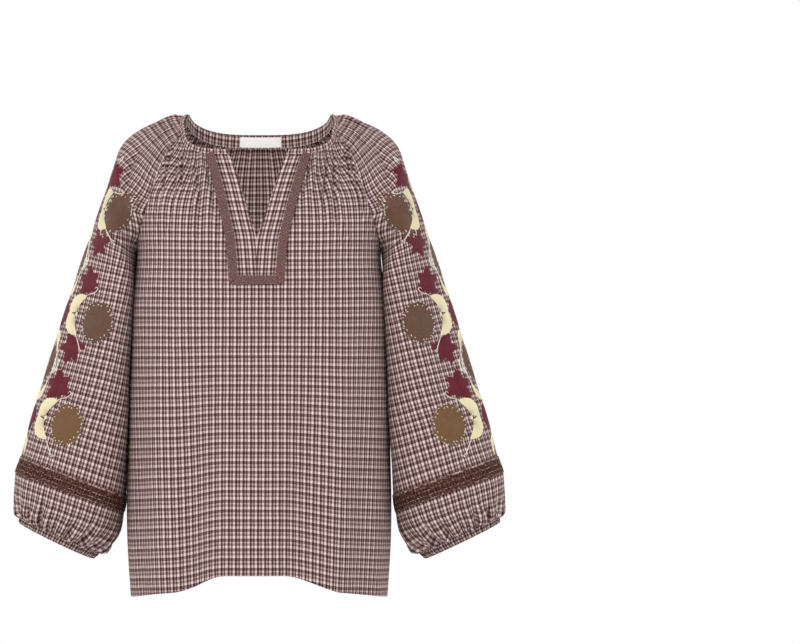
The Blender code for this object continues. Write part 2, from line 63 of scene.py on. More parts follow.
# The torso's level sections, from the neck down: each is a superellipse of that power.
TORSO = table(
    "z half_width front_y side_y back_y power",
    (20, 128, -36, 8, 40, 2.3),
    (-15, 142, -61, 5, 57, 2.4),
    (-45, 168, -80, 0, 71, 2.5),
    (-80, 185, -101, -5, 84, 2.6),
    (-113, 185, -124, -10, 96, 2.6),
    (-145, 178, -144, -14, 103, 2.6),
    (-190, 172, -159, -18, 109, 2.6),
    (-255, 179.5, -167, -20, 119, 2.5),
    (-326, 181.5, -174, -20, 127, 2.4),
    (-397, 184, -183, -19, 136, 2.3),
    (-468, 185.5, -190, -18, 144, 2.2),
    (-538, 187, -198, -17, 153, 2.1),
    (-600, 186, -203, -16, 160, 2.1),
    (-680, 181, -206, -15, 166, 2.1),
)

# The raglan seams as seen from the front, from the neckline to the armpit.
RAGLAN = table(
    "share front_x front_z back_x back_z",
    (0.0, 108, -20, 101, -7),
    (0.15, 127, -42, 118, -28),
    (0.3, 138, -69, 133, -56),
    (0.45, 147, -95, 145, -86),
    (0.6, 154, -117, 155, -114),
    (0.75, 161, -139, 163, -141),
    (0.9, 168.5, -168, 169, -169),
    (1.0, 172, -190, 172, -190),
)

# Rows of the yoke: share along the raglan seams, and the height of the row at centre front and back.
YOKE = table(
    "share front_z back_z",
    (0.0, -51, -27),
    (0.08, -63, -38),
    (0.2, -80, -55),
    (0.35, -101, -77),
    (0.5, -124, -101),
    (0.65, -148, -127),
    (0.73, -160, -140),
    (0.8, -171, -153),
    (0.88, -181, -166),
    (0.95, -188, -179),
    (1.0, -195, -188),
)
ARMPIT_Z = -190
HEM_FRONT_Z = -637
HEM_SIDE_Z = -673
HEM_BACK_Z = -645
PLACKET_END_Z = -236
SLIT_FOOT_Z = -171
NECKLINE_POWER = 2.6
TRIM_TURN_Z = -220

# Half widths, from the slit outwards, of the lines that run down the placket.
PLACKET = table(
    "z slit_x trim_inner_x trim_outer_x",
    (-30, 52, 72, 82),
    (-44, 44, 66, 76),
    (-60, 37, 60, 70.5),
    (-98, 23, 48.5, 59.5),
    (-143, 9, 37.5, 48.5),
    (-171, 0, 31, 42.5),
    (-215, 0, 27, 39),
    (-240, 0, 26, 38),
    (-320, 0, 26, 38),
    (-700, 0, 28, 42),
)

# The gathers at each sewn edge: how many, how far down they reach and how deep they are.
GATHERS = named(
    "edge count reach depth",
    ("front", 7, 140, 5.4),
    ("back", 8, 120, 4.0),
    ("sleeve_head", 8, 110, 3.6),
)
CUFF_GATHERS = 20

GATHERED = table(
    "share front back head",
    (0.0, 2.0, 1.5, 2.3),
    (0.1, 1.75, 1.38, 1.95),
    (0.25, 1.4, 1.2, 1.5),
    (0.45, 1.1, 1.05, 1.12),
    (0.65, 1.0, 1.0, 1.0),
    (1.0, 1.0, 1.0, 1.0),
)

# Long soft folds of the body: angle round from centre front, positive to the wearer's left.
BODY_FOLDS = table(
    "angle spread depth start_z full_z",
    (-27, 8, -10.0, -230, -520),
    (-10, 8, 4.375, -300, -560),
    (19, 7, -8.125, -260, -540),
    (36, 9, 5.0, -240, -560),
    (-46, 7, 4.375, -160, -480),
    (52, 8, -5.0, -180, -520),
    (-62, 6, -3.75, -240, -560),
    (124, 9, -6.25, -180, -520),
    (146, 8, 5.0, -160, -540),
    (166, 8, -6.875, -150, -520),
    (-176, 8, 4.375, -180, -560),
    (-158, 8, -7.5, -160, -540),
    (-138, 8, 5.0, -200, -560),
    (-120, 8, -5.625, -220, -520),
)

# The sleeve's head: where its top line runs, and how each row leaves the raglan seam (degrees from +X,
# positive towards the middle of the arm) with the lengths of the row's two handles.
HEAD = table(
    "share top_x top_y top_z turn seam_handle front_handle back_handle",
    (0.0, 109, 8, 5, 68, 19, 20, 20),
    (0.15, 128, 8, 2.5, 56, 26, 32, 32),
    (0.3, 149, 7, -5, 42, 34, 42, 42),
    (0.45, 169, 5, -14, 28, 38, 52, 54),
    (0.6, 187, 3, -27, 12, 40, 64, 70),
    (0.7, 198, 1, -42, -5, 44, 70, 82),
    (0.8, 207, -1, -68, -26, 58, 68, 92),
    (0.88, 217, -2, -104, -50, 76, 62, 92),
    (0.95, 229, -3, -138, -68, 98, 56, 90),
    (1.0, 240, -4, -166, -77, 150, 62, 88),
)

# The crease where the sleeve's head folds into the armpit: its place round the row, and its depth.
CREASE = table(
    "share place depth",
    (0.0, 0.34, 0.0),
    (0.35, 0.28, 2.0),
    (0.5, 0.22, 6.0),
    (0.65, 0.14, 5.0),
    (0.8, 0.08, 2.0),
    (0.9, 0.05, 0.0),
    (1.0, 0.05, 0.0),
)
CREASE_SPREAD = 0.04
SEAM_LIFT = 0.45

# The sleeve's tube below the armpit: its inner and outer lines, how far it reaches to front and back,
# how full it is beside each line (the same for both makes a round ring, less outside a drop shape), and
# how far its inner side laps over the body in front and behind.
TUBE = table(
    "station inner_x inner_y inner_z outer_x outer_y outer_z front_y back_y inner_full outer_full lap",
    (0, 172.6, -18, -190, 240, -4, -166, -97, 86, 1.8, 0.7, 10),
    (1, 181, -13, -248, 261, -4, -228, -99, 90, 1.95, 0.5, 30),
    (2, 184, -9, -318, 282, -5, -292, -101, 91, 2.0, 0.4, 30),
    (3, 187, -7, -389, 302, -6, -356, -102, 91, 1.95, 0.45, 30),
    (4, 190, -7, -460, 321, -7, -416, -103, 90, 1.85, 0.6, 30),
    (5, 193, -8, -531, 337, -8, -475, -103, 88, 1.7, 0.8, 28),
    (6, 196, -8, -556, 345, -8, -499, -102, 86, 1.6, 0.95, 25),
    (7, 201, -7, -582, 346, -7, -527, -94, 80, 1.5, 1.1, 16),
    (8, 214, -5, -601, 343, -5, -547, -79, 69, 1.4, 1.25, 8),
    (9, 227, -4, -611, 338, -4, -561, -61, 53, 1.33, 1.33, 0),
    (10, 237, -4, -620, 338, -4, -571, -58, 50, 1.33, 1.33, 0),
)
BAND_STATION = 5

# Folds down the sleeve: place round the ring (0 and 1 at the inner seam, 0.5 at the top), from the
# station where each starts to the one where it ends.
SLEEVE_FOLDS = table(
    "place spread depth start end",
    (0.2, 0.035, -3.5, 0.6, 4.6),
    (0.3, 0.04, 3.0, 1.6, 5.4),
    (0.7, 0.04, -3.5, 0.6, 4.4),
    (0.8, 0.035, 3.0, 1.4, 5.2),
    (0.86, 0.03, -3.0, 2.0, 4.8),
    (0.13, 0.03, 2.5, 2.4, 5.0),
)

# Numbers of rows and columns in the cloth's grids.
STRIP_CELLS = 8
TRIM_CELLS = 4
FRONT_CELLS = 84
BACK_CELLS = 96
YOKE_CELLS = 54
SKIRT_CELLS = 92
RING_CELLS = 160
HEAD_CELLS = 48
TUBE_CELLS = 70
PUFF_CELLS = 44
CUFF_CELLS = 320
LACE_CELLS = 640
CURVE_CELLS = 240
PLACKET_ROWS = 75
PLACKET_COLUMNS = 17
TRIM_COLUMNS = 15
NECK_HALF_COLUMNS = 120
NECK_COLUMNS = 420
FACING_ROWS = 9
LABEL_ROWS = 16
LABEL_COLUMNS = 60
CUFF_ROWS = 11
LACE_ROWS = 33
HEM_STITCH_ROW = 3
SOFT_ROWS = 14
SOFT_PASSES = 60

# Angles and heights at which the distance up the cloth is worked out.
MERIDIAN_TURN = 3.0
MERIDIAN_STEP = 4.0
MERIDIAN_FOOT = -700

# How far the cloth sinks into a seam, and over how many columns. Along the raglan seams it does so no
# longer between these shares near the armpit.
PINCH_DEPTH = 0.9
PINCH_SPREAD = 1.1
PINCH_FADE = (0.5, 0.85)

# Between these depths below the neck the check's level stripes come to hang with the hem.
STRIPES_DROP = (220, 660)
STRIPES_FOLLOW = 0.6

# The rise of the hem's edge from its sides to its centre: a share of it between two angles from the centre.
HEM_RISE = table("share start end", (0.62, 11, 39), (0.38, 20, 88))
BACK_NECK_POWER = 2.2

# How many degrees away from the side seams long folds and small creases reach their full depth.
FOLD_SIDE = 22
CRUMPLE_SIDE = 12
CRUMPLE_DEPTH = 0.2
CRUMPLE_DROP = (150, 420)

SLEEVE_FALL = np.array([0.31, 0.0, -0.95])
HEAD_LENGTH = 210
PUFF_END = 9
PUFF_DEPTH = 6.2
SLEEVE_CREASE = 0.9
HEAD_CREASE = 0.5

PLACKET_TOP_X = 41
TRIM_WIDTH = 12.0
TRIM_CORNER = 3.5
TRIM_STEP = 1.1
TRIM_CORD = 0.35
TRIM_RIB = 0.16
TRIM_RIB_STEP = 2.2
SCALLOP_DEPTH = 0.55
SCALLOP_STEP = 4.6
TRIM_STITCH_X = 2.6
BINDING_HEIGHT = 7.0
BINDING_FOOT = 2.5
BINDING_LIFT = 0.55
FACING_SHARE = 0.2
FACING_HEIGHT = 18.0
FACING_IN = 3.9
FACING_LEAN = 2
NECK_MIDDLE_Y = -10
LABEL_WIDTH = 58.0
LABEL_HEIGHT = 15.0
LABEL_DROP = 1.5
LABEL_OUT = 1.3
LABEL_TUCK = 0.35
LABEL_TUCK_SPREAD = 2.0
LACE_WIDTH = 24.0
LACE_REPEAT = 4.2
LACE_REPEATS = 128
LACE_OUT = 0.9
LACE_RELIEF = 0.5
LACE_CORD_PLACES = (1.2, 8.0, 16.0, 22.6)
LACE_CORD_SPREAD = 0.75
CUFF_LENGTH = 420
CUFF_WIDTH = 12.0
CUFF_GAP = 0.12
MAP_REACH = 150
MAP_STEP = 2.0
EMBROIDERY_FOOT = -0.1
EMBROIDERY_RISE = 0.9
LAYER_RISE = 0.9
STITCH = 2.4
STITCH_STEP = 3.4
STITCH_WIDTH = 0.28

# The binding's section: height above the seam, distance out from the neckline, place across the strip.
BINDING_SECTION = table(
    "up out over",
    (-0.4, 0.5, 0.0),
    (0.4, 1.0, 1.0),
    (2.5, 1.25, 3.0),
    (5.0, 1.2, 5.5),
    (6.6, 0.8, 7.0),
    (7.1, 0.0, 8.0),
    (6.6, -0.8, 9.0),
    (5.0, -1.2, 10.5),
    (2.5, -1.25, 13.0),
    (0.4, -1.0, 15.0),
)

# The embroidery of a sleeve: across from its top line to the back, and the height of the top line there.
# A motif with a distance across stands on both sides, mirrored.
EMBROIDERY = table(
    "motif across z",
    ("spike", 60, -36),
    ("smile", 0, -89),
    ("flower", 60, -61),
    ("red_disc", 0, -127),
    ("shoulder_disc", 100, -93),
    ("bracket", 65, -112),
    ("arch", 0, -166),
    ("flower_down", 63, -164),
    ("middle_disc", 0, -197),
    ("smile", 0, -234),
    ("flower", 60, -226),
    ("red_disc", 0, -273),
    ("side_disc", 97, -276),
    ("bracket", 49, -271),
    ("arch", 0, -312),
    ("flower_down", 60, -316),
    ("middle_disc", 0, -344),
    ("smile", 0, -381),
    ("flower", 56, -370),
    ("red_disc", 0, -420),
    ("ochre_disc", 95, -415),
    ("bracket", 52, -415),
    ("arch", 0, -460),
)

# A flower's lobes: the way each points, in degrees, how far it reaches and how broad it is.
FLOWER_LOBES = table(
    "angle reach spread",
    (104, 0.46, 23),
    (48, 0.40, 17),
    (-16, 0.48, 22),
    (-70, 0.16, 16),
    (-124, 0.50, 23),
    (168, 0.40, 20),
)
FLOWER_HEART = 0.5
SHOULDER_DISC_WIDTH = 0.74

# The sizes of the motifs: how wide and tall each is, and for leaves also their notch and breadth.
SHAPES = named(
    "name wide tall notch breadth",
    ("flower", 66, 52, 0, 0),
    ("red_disc", 47, 45, 0, 0),
    ("side_disc", 58, 59, 0, 0),
    ("middle_disc", 51, 59, 0, 0),
    ("curl", 7, 8, 0, 0),
    ("smile", 46, 25, 5, 14),
    ("arch", 42, 26, 5, 14),
    ("bracket", 56, 29, 4, 22),
)

# Short stitches round a disc: how many, how far out they start, their size, how much they move in and
# out, and how far they lean from a ray.
DASHES = named(
    "name count inner length width swing lean",
    ("ragged_edge", 54, 27.5, 3.2, 3.4, 0.03, 0.4),
    ("pale_rim", 33, 26.0, 3.0, 1.5, 0.1, 1.3),
    ("centre", 19, 8.0, 2.0, 0.8, 0.4, 0.4),
)

# Stems of thread through a few places, and how thick each is.
STEMS = {
    "smile": (1.8, [(0, -12), (0, -15), (0, -18)]),
    "side_line": (1.3, [(21, 30), (26, 20), (29, 8), (29, -8), (26, -20), (22, -30)]),
    "cage": (1.6, [(31, 12), (37, 8), (39, 0), (37, -9), (31, -12), (34, -3), (32, 5), (36, 3)]),
    "upper_tendril": (1.3, [(12, 27), (19, 32), (27, 34), (34, 38), (38, 43), (33, 45), (30, 42)]),
    "lower_tendril": (1.3, [(12, -27), (18, -33), (25, -40), (31, -46), (36, -47), (33, -50), (29, -46)]),
    "spike": (1.1, [(-2, -7), (-3, 0), (-1, 8), (2, 2), (1, -7)]),
}

# The cut of each piece of cloth in metres, and how it is held.
SHEETS = named(
    "piece width length area held",
    ("front_cloth", 0.60, 0.67, 0.321, "hung"),
    ("back_cloth", 0.58, 0.675, 0.320, "hung"),
    ("sleeve_cloth", 0.55, 0.65, 0.272, "gathered"),
    ("lace", 0.538, 0.024, 0.0129, "stretched"),
    ("cuff_cloth", 0.42, 0.012, 0.005, "gathered"),
    ("placket_cloth", 0.12, 0.185, 0.0133, "laid"),
    ("placket_trim_braid", 0.422, 0.012, 0.005, "laid"),
    ("neck_binding_cloth", 0.614, 0.015, 0.0092, "folded"),
    ("neck_facing_cloth", 0.368, 0.018, 0.0066, "hung"),
    ("neck_label_satin", 0.058, 0.015, 0.00086, "laid"),
)

# The check's repeats in metres, and how dark each stripe is from 0 (pale) to 1 along one repeat.
WARP_PERIOD = 0.010
WEFT_PERIOD = 0.0134
THREAD = 0.0008
WANDER = 0.0009
WARP_STOPS = (
    (0.0, 0.0), (0.13, 0.0), (0.17, 1.0), (0.40, 1.0), (0.46, 0.25),
    (0.61, 0.25), (0.66, 0.85), (0.81, 0.85), (0.87, 0.0),
)
WEFT_STOPS = (
    (0.0, 0.0), (0.12, 0.0), (0.16, 0.66), (0.35, 0.66), (0.40, 0.22),
    (0.53, 0.22), (0.59, 0.95), (0.85, 0.95), (0.90, 0.0),
)
WEFT_SHARE = 0.44
WEAVE_SHARE = 0.22
CHECK_COLOURS = (
    (0.0, (0.80, 0.655, 0.63)), (0.25, (0.48, 0.34, 0.325)), (0.5, (0.205, 0.129, 0.124)),
    (0.75, (0.088, 0.044, 0.041)), (1.0, (0.038, 0.014, 0.013)),
)
BRAID_COLOURS = ((0.0, (0.05, 0.018, 0.016)), (0.42, (0.16, 0.084, 0.077)), (1.0, (0.62, 0.46, 0.42)))
BRAID_RIB = 0.0023
BRAID_GAP_ACROSS = 0.0048
BRAID_GAP_ALONG = 0.0042
# How the lace's value runs across it from its lower edge to its upper one: high on the cords, low between
# them, where its openings are given painted shade.
LACE_CORDS = (
    (0.0, 0.2), (0.05, 0.55), (0.12, 0.15), (0.27, 0.2), (0.33, 0.5), (0.4, 0.05),
    (0.6, 0.05), (0.66, 0.5), (0.72, 0.15), (0.9, 0.2), (0.95, 0.6), (1.0, 0.5),
)
# The lace's colours from low value to high: painted shade, nearly black, for its openings, then its own
# red-brown thread, paler on the cords.
LACE_AND_OPENING_SHADE_COLOURS = ((0.0, (0.022, 0.003, 0.002)), (0.45, (0.105, 0.045, 0.034)), (1.0, (0.62, 0.45, 0.41)))
LABEL_COLOURS = ((0.0, (0.94, 0.90, 0.895)), (1.0, (0.98, 0.95, 0.945)))
SATIN_THREAD = 0.0005
# Each thread's darker and paler colour: its tone varies between them at random, and its painted highlight and
# shade along the stitch lines runs between them too.
THREAD_COLOURS = {
    "burgundy": ((0.075, 0.004, 0.011), (0.21, 0.017, 0.034)),
    "brown": ((0.085, 0.043, 0.028), (0.205, 0.108, 0.072)),
    "ochre": ((0.11, 0.052, 0.022), (0.27, 0.145, 0.065)),
    "cream": ((0.82, 0.70, 0.43), (0.99, 0.91, 0.62)),
    "white": ((0.72, 0.69, 0.56), (0.90, 0.87, 0.74)),
}
# The sewing thread's darker and paler colour, between which its tone and its painted highlight and shade
# along the stitches run.
SEWING_COLOURS = ((0.06, 0.03, 0.026), (0.13, 0.07, 0.06))
STITCH_THREAD = 0.0011
FLOOR_COLOURS = ((0.0, (0.80, 0.80, 0.80)), (1.0, (0.84, 0.84, 0.84)))
SHEEN_ROUGHNESS = 0.4
SPECULAR = 0.15

# The studio, in metres: the camera stands square to the wearer's front.
CAMERA_DISTANCE = 8.0
CAMERA_X = 0.199
CAMERA_Z = -0.286
FRAME_WIDTH = 1.1333
FLOOR_Z = -1.6
FLOOR_RADIUS = 3.0
WORLD_LIGHT = 1.0
LIGHTS = table(
    "name x y z aim_x aim_y aim_z size power",
    ("key_light", -1.6, -3.0, 1.6, 0.1, 0, -0.3, 1.2, 45),
    ("fill_light", 2.4, -3.0, 0.2, 0.1, 0, -0.3, 1.6, 12),
    ("inside_light", 0, -0.06, -0.34, 0, 0.06, -0.08, 0.12, 0.4),
)


def mix(low, high, share):
    return low + (high - low) * share


def ease(low, high, value):
    """0 before low, 1 after high and a smooth step between them."""
    share = np.clip((value - low) / (high - low), 0, 1)
    return share * share * (3 - 2 * share)


def inside(share, margin):
    """0 at both ends of 0 to 1, and 1 further than the margin from them."""
    return ease(0, margin, share) * ease(0, margin, 1 - share)


def bell(away, spread):
    """1 in the middle, and less away from it."""
    return np.exp(-((away / spread) ** 2))


def unit(vectors):
    """The same directions with a length of 1."""
    return vectors / np.maximum(np.linalg.norm(vectors, axis=-1, keepdims=True), 1e-9)


def row_lengths(points):
    """The distance along each row from its first point."""
    steps = np.linalg.norm(np.diff(points, axis=1), axis=-1)
    return np.concatenate([np.zeros((len(points), 1)), np.cumsum(steps, axis=1)], axis=1)


def line_lengths(line):
    """The distance along a line from its first point."""
    return row_lengths(line[None])[0]


def at_lengths(line, lengths, wanted):
    """Points of a line, or its directions, at the wanted distances along it."""
    return np.stack([np.interp(wanted, lengths, column) for column in line.T], axis=-1)


def beside(line):
    """For each place of a flat line, the direction to its left."""
    way = unit(np.gradient(line, axis=0))
    return np.stack([-way[:, 1], way[:, 0]], axis=-1)


def looked_up(grid, row, column):
    """Values of a grid at places between its rows and columns."""
    row = np.clip(row, 0, grid.shape[0] - 1.001)
    column = np.clip(column, 0, grid.shape[1] - 1.001)
    i, j = row.astype(int), column.astype(int)
    down, over = row - i, column - j
    if grid.ndim > 2:
        down, over = down[..., None], over[..., None]
    upper = mix(grid[i, j], grid[i, j + 1], over)
    lower = mix(grid[i + 1, j], grid[i + 1, j + 1], over)
    return mix(upper, lower, down)


def along(rows, value):
    """A row of a table at each value of its first column, on a smooth curve through its rows."""
    kind = type(rows[0])
    rows = np.array(rows, float)
    sign = 1.0 if rows[-1, 0] > rows[0, 0] else -1.0
    keys = rows[:, 0] * sign
    value = np.asarray(value, float) * sign
    low = np.clip(np.searchsorted(keys, value) - 1, 0, len(keys) - 2)
    high = low + 1
    before, after = np.maximum(low - 1, 0), np.minimum(high + 1, len(keys) - 1)
    span = keys[high] - keys[low]
    share = np.clip((value - keys[low]) / span, 0, 1)
    square, cube = share**2, share**3
    found = [value * sign]
    for column in rows.T[1:]:
        slope_low = (column[high] - column[before]) / (keys[high] - keys[before]) * span
        slope_high = (column[after] - column[low]) / (keys[after] - keys[low]) * span
        found.append(
            column[low] * (2 * cube - 3 * square + 1)
            + column[high] * (3 * square - 2 * cube)
            + slope_low * (cube - 2 * square + share)
            + slope_high * (cube - square)
        )
    return kind(*found)


def ripple(place, row, waves, seed):
    """Smooth irregular waves, about -1 to 1, from a few sines of mixed lengths."""
    total = 0.0
    for number in range(waves):
        across = 1.0 + 0.83 * number
        down = 0.35 + 0.27 * number
        total = total + np.sin(across * place + down * row + 2.4 * number + seed) / (1 + 0.35 * number)
    return total / (0.75 * waves)


def torso_point(angle, z):
    """Points of the torso's surface: angle 0 is centre front, 90 the wearer's left side."""
    section = along(TORSO, z)
    sine, cosine = np.sin(np.radians(angle)), np.cos(np.radians(angle))
    x = np.sign(sine) * section.half_width * np.abs(sine) ** (2 / section.power)
    depth = np.where(cosine > 0, section.front_y, section.back_y) - section.side_y
    y = section.side_y + depth * np.abs(cosine) ** (2 / section.power)
    return np.stack(np.broadcast_arrays(x, y, np.asarray(z, float)), axis=-1)


def torso_angle(x, z):
    """The angle, under 90 degrees, at which the torso is x wide at this height."""
    section = along(TORSO, z)
    return np.degrees(np.arcsin(np.minimum(1.0, x / section.half_width) ** (section.power / 2)))


def fold_depth(angle, z):
    """How far the body's long folds move the cloth out."""
    out = 0.0
    for fold in BODY_FOLDS:
        away = (angle - fold.angle + 180) % 360 - 180
        out = out + fold.depth * bell(away, fold.spread) * ease(-fold.start_z, -fold.full_z, -z)
    return out * ease(0, FOLD_SIDE, np.abs(np.abs(angle) - 90))


def crumple(angle, z):
    """Small creases of the hanging cloth, deeper down the body."""
    turn = np.radians(angle)
    long_waves = ripple(5.0 * turn, z / 110, waves=4, seed=0.3)
    short_waves = ripple(17.0 * turn + z / 70, z / 45, waves=3, seed=1.7)
    out = long_waves * ease(*CRUMPLE_DROP, -z) + CRUMPLE_DEPTH * short_waves
    return out * ease(0, CRUMPLE_SIDE, np.abs(np.abs(angle) - 90))


def gather_depth(share, edge, drop, seed):
    """Gathers that start at a sewn edge: share across them, and drop down from the edge."""
    gathers = GATHERS[edge]
    place = share * gathers.count
    swing = 0.16 * np.sin(TURN * place / 3.3 + seed) + 0.1 * np.sin(TURN * place / 1.9)
    place = place + swing * inside(share, 0.15)
    number = np.floor(place)
    uneven = 0.75 + 0.35 * np.sin(2.4 * number + seed)
    length = gathers.reach * (0.8 + 0.4 * np.sin(1.7 * number + seed * 2))
    ridge = np.abs(np.cos(np.pi * place)) ** 0.8 * 2 - 1
    fine = 0.3 * np.cos(2 * TURN * place + seed) * (1 - ease(0, 0.35 * gathers.reach, drop))
    fade = mix(0.35, 1.0, ease(0, 0.2 * gathers.reach, drop)) * (1 - ease(0.2 * length, length, drop))
    return gathers.depth * (uneven * ridge + fine) * inside(share, 0.07) * fade


def row_profile(angle, fall):
    """How much of a body row's drop from its centre to its side is reached at this angle."""
    hem = sum(rise.share * ease(rise.start, rise.end, angle) for rise in HEM_RISE)
    return mix((angle / 90) ** 2, hem, ease(0.1, 0.9, fall))


def grid_normals(points, closed=False):
    """The outward directions of a grid whose rows run down and whose columns run round to the left."""
    down, across = np.gradient(points, axis=0), np.gradient(points, axis=1)
    if closed:
        across[:, 0] = across[:, -1] = points[:, 1] - points[:, -2]
    return unit(np.cross(down, across))


def meridians():
    """For each angle from 0 to 180, the distance up the torso from its foot at each height."""
    angles = np.arange(0, 181, MERIDIAN_TURN)
    heights = np.arange(MERIDIAN_FOOT, 21, MERIDIAN_STEP)
    return row_lengths(torso_point(angles[:, None], heights[None, :]))


MERIDIANS = meridians()


def height_up(angle, z):
    """The distance up the cloth from the torso's foot to this place."""
    return looked_up(MERIDIANS, np.abs(angle) / MERIDIAN_TURN, (z - MERIDIAN_FOOT) / MERIDIAN_STEP)


def body_rows():
    """The share down the yoke and the fall below it, for each row of a body panel."""
    shares = np.linspace(0, 1, YOKE_CELLS + 1) ** 1.15
    falls = np.linspace(0, 1, SKIRT_CELLS + 1)[1:]
    return [(share, 0.0) for share in shares] + [(1.0, fall) for fall in falls]


def row_ends(share, fall, front):
    """A body row's height at its centre and its seam, and the angle of its seam from the centre."""
    row, seam = along(YOKE, share), along(RAGLAN, share)
    centre_z = row.front_z if front else row.back_z
    if fall > 0:
        centre_z = mix(centre_z, HEM_FRONT_Z if front else HEM_BACK_Z, fall)
        return centre_z, mix(ARMPIT_Z, HEM_SIDE_Z, fall), 90.0
    seam_x, seam_z = (seam.front_x, seam.front_z) if front else (seam.back_x, seam.back_z)
    return centre_z, seam_z, 90.0 if share == 1.0 else torso_angle(seam_x, seam_z)


def slit_edge(x, z):
    """The slit's half width at this height, which is nothing below its foot."""
    return max(0.0, x) if z > SLIT_FOOT_Z else 0.0


def front_row(centre_z, end_angle):
    """A front row's angles from the slit to the seam, and where they are across its gathers (0 to 1)."""
    lines = along(PLACKET, centre_z)
    edges = (slit_edge(lines.slit_x, centre_z), lines.trim_inner_x, lines.trim_outer_x)
    marks = [torso_angle(x, centre_z) for x in edges]
    row = np.concatenate([
        np.linspace(marks[0], marks[1], STRIP_CELLS + 1)[:-1],
        np.linspace(marks[1], marks[2], TRIM_CELLS + 1)[:-1],
        np.linspace(marks[2], end_angle, FRONT_CELLS + 1),
    ])
    return row, np.clip((np.arange(len(row)) - STRIP_CELLS - TRIM_CELLS) / FRONT_CELLS, 0, 1)


def panel_half(front):
    """Half a body panel as plain data: angles, heights, drops, and where its gathers are (0 to 1)."""
    rows = []
    top_z = YOKE[0].front_z if front else YOKE[0].back_z
    across = np.linspace(0, 1, BACK_CELLS + 1)
    for share, fall in body_rows():
        centre_z, seam_z, end_angle = row_ends(share, fall, front)
        row, gathered = front_row(centre_z, end_angle) if front else (end_angle * across, across)
        if fall > 0:
            reached = row_profile(row, fall)
        elif front:
            power = mix(NECKLINE_POWER, 2.0, ease(0.0, 0.4, share))
            reached = ((row - row[0]) / (end_angle - row[0])) ** power
        else:
            reached = across**BACK_NECK_POWER
        rows.append((row, mix(centre_z, seam_z, reached), np.full(len(row), top_z - centre_z), gathered))
    return tuple(np.array(kind) for kind in zip(*rows))


def seam_pinch(columns):
    """How far each column sinks towards the seam at the last one, where the cloth is sewn."""
    return -PINCH_DEPTH * bell(columns - 1 - np.arange(columns), PINCH_SPREAD)


def body_half(front, side):
    """Half of a body panel: its points and its cloth coordinates, both in millimetres."""
    angles, heights, drops, gathers = panel_half(front)
    round_angle = side * angles if front else side * (180 - angles)
    plain = torso_point(round_angle, heights)
    seed = 1.0 + 0.7 * side + (0 if front else 2.0)
    depth = gather_depth(gathers, "front" if front else "back", drops, seed)
    move = fold_depth(round_angle, heights) + crumple(round_angle, heights) + depth * (gathers > 0)
    sewn = [1 - ease(*PINCH_FADE, share) + ease(0.0, 0.1, fall) for share, fall in body_rows()]
    move = move + np.array(sewn)[:, None] * seam_pinch(plain.shape[1])
    step = 1 if (side > 0) == front else -1
    normals = grid_normals(plain[:, ::step])[:, ::step]
    cloth = body_cloth(front, side, angles, heights, plain)
    return plain + normals * move[..., None], cloth


def body_cloth(front, side, angles, heights, plain):
    """A panel half's cloth coordinates: across from its centre, and up from its hem."""
    gathered = along(GATHERED, np.array([share for share, _ in body_rows()]))
    lengths = row_lengths(plain)
    factor = (gathered.front if front else gathered.back)[:, None] * np.ones_like(lengths)
    if front:
        factor[:, : STRIP_CELLS + TRIM_CELLS] = 1.0
    steps = np.diff(lengths, axis=1) * factor[:, 1:]
    start = np.abs(plain[:, :1, 0])
    across = start + np.concatenate([np.zeros((len(steps), 1)), np.cumsum(steps, axis=1)], axis=1)
    hem_centre, middle = (HEM_FRONT_Z, 0.0) if front else (HEM_BACK_Z, 180.0)
    hem_z = mix(hem_centre, HEM_SIDE_Z, row_profile(angles, 1.0))
    angles = angles if front else 180 - angles
    height = height_up(angles, heights)
    level = height - height_up(np.full_like(heights, middle), hem_centre)
    hanging = height - height_up(angles, hem_z)
    up = mix(level, hanging, STRIPES_FOLLOW * ease(*STRIPES_DROP, -heights))
    return np.stack([side * across, up], axis=-1)


def spaced_curve(*handles, count):
    """count + 1 points spaced evenly along a curve from its start, two handles and its end."""
    start, first, second, end = (np.array(handle, float) for handle in handles)
    share = np.linspace(0, 1, CURVE_CELLS + 1)[:, None]
    rest = 1 - share
    fine = start * rest**3 + first * (3 * rest**2 * share) + second * (3 * rest * share**2) + end * share**3
    lengths = line_lengths(fine)
    return at_lengths(fine, lengths, np.linspace(0, lengths[-1], count + 1))


def there_and_back(front, back):
    """One row from a row's front half and its back half, which end at the same place."""
    return np.concatenate([front, back[-2::-1]])


def head_row(share):
    """A row of the left sleeve's head, from the front raglan seam over the top to the back one."""
    seams, head = along(RAGLAN, share), along(HEAD, share)
    top = np.array([head.top_x, head.top_y, head.top_z])
    turn = np.radians(head.turn)
    lift = SEAM_LIFT * (1 - ease(0.0, 0.8, share))
    halves = []
    for angle, seam_z, way, top_handle in (
        (torso_angle(seams.front_x, seams.front_z), seams.front_z, 1, head.front_handle),
        (180 - torso_angle(seams.back_x, seams.back_z), seams.back_z, -1, head.back_handle),
    ):
        seam = torso_point(angle, seam_z)
        leave = seam + np.array([np.cos(turn), way * np.sin(turn), lift]) * head.seam_handle
        arrive = top - np.array([0, way * top_handle, 0])
        halves.append(spaced_curve(seam, leave, arrive, top, count=RING_CELLS // 2))
    return there_and_back(*halves)


def tube_row(station, cells=RING_CELLS):
    """A ring of the left sleeve below the armpit, from the inner seam by the front round to it again."""
    ring = along(TUBE, station)
    inner = np.array([ring.inner_x, ring.inner_y, ring.inner_z])
    top = np.array([ring.outer_x, ring.outer_y, ring.outer_z])
    halves = []
    for reach_y in (ring.front_y, ring.back_y):
        reach = np.array([0, reach_y - (ring.inner_y + ring.outer_y) / 2, 0])
        leave = inner + reach * ring.inner_full - np.array([ring.lap, 0, 0])
        arrive = top + reach * ring.outer_full
        halves.append(spaced_curve(inner, leave, arrive, top, count=cells // 2))
    return there_and_back(*halves)


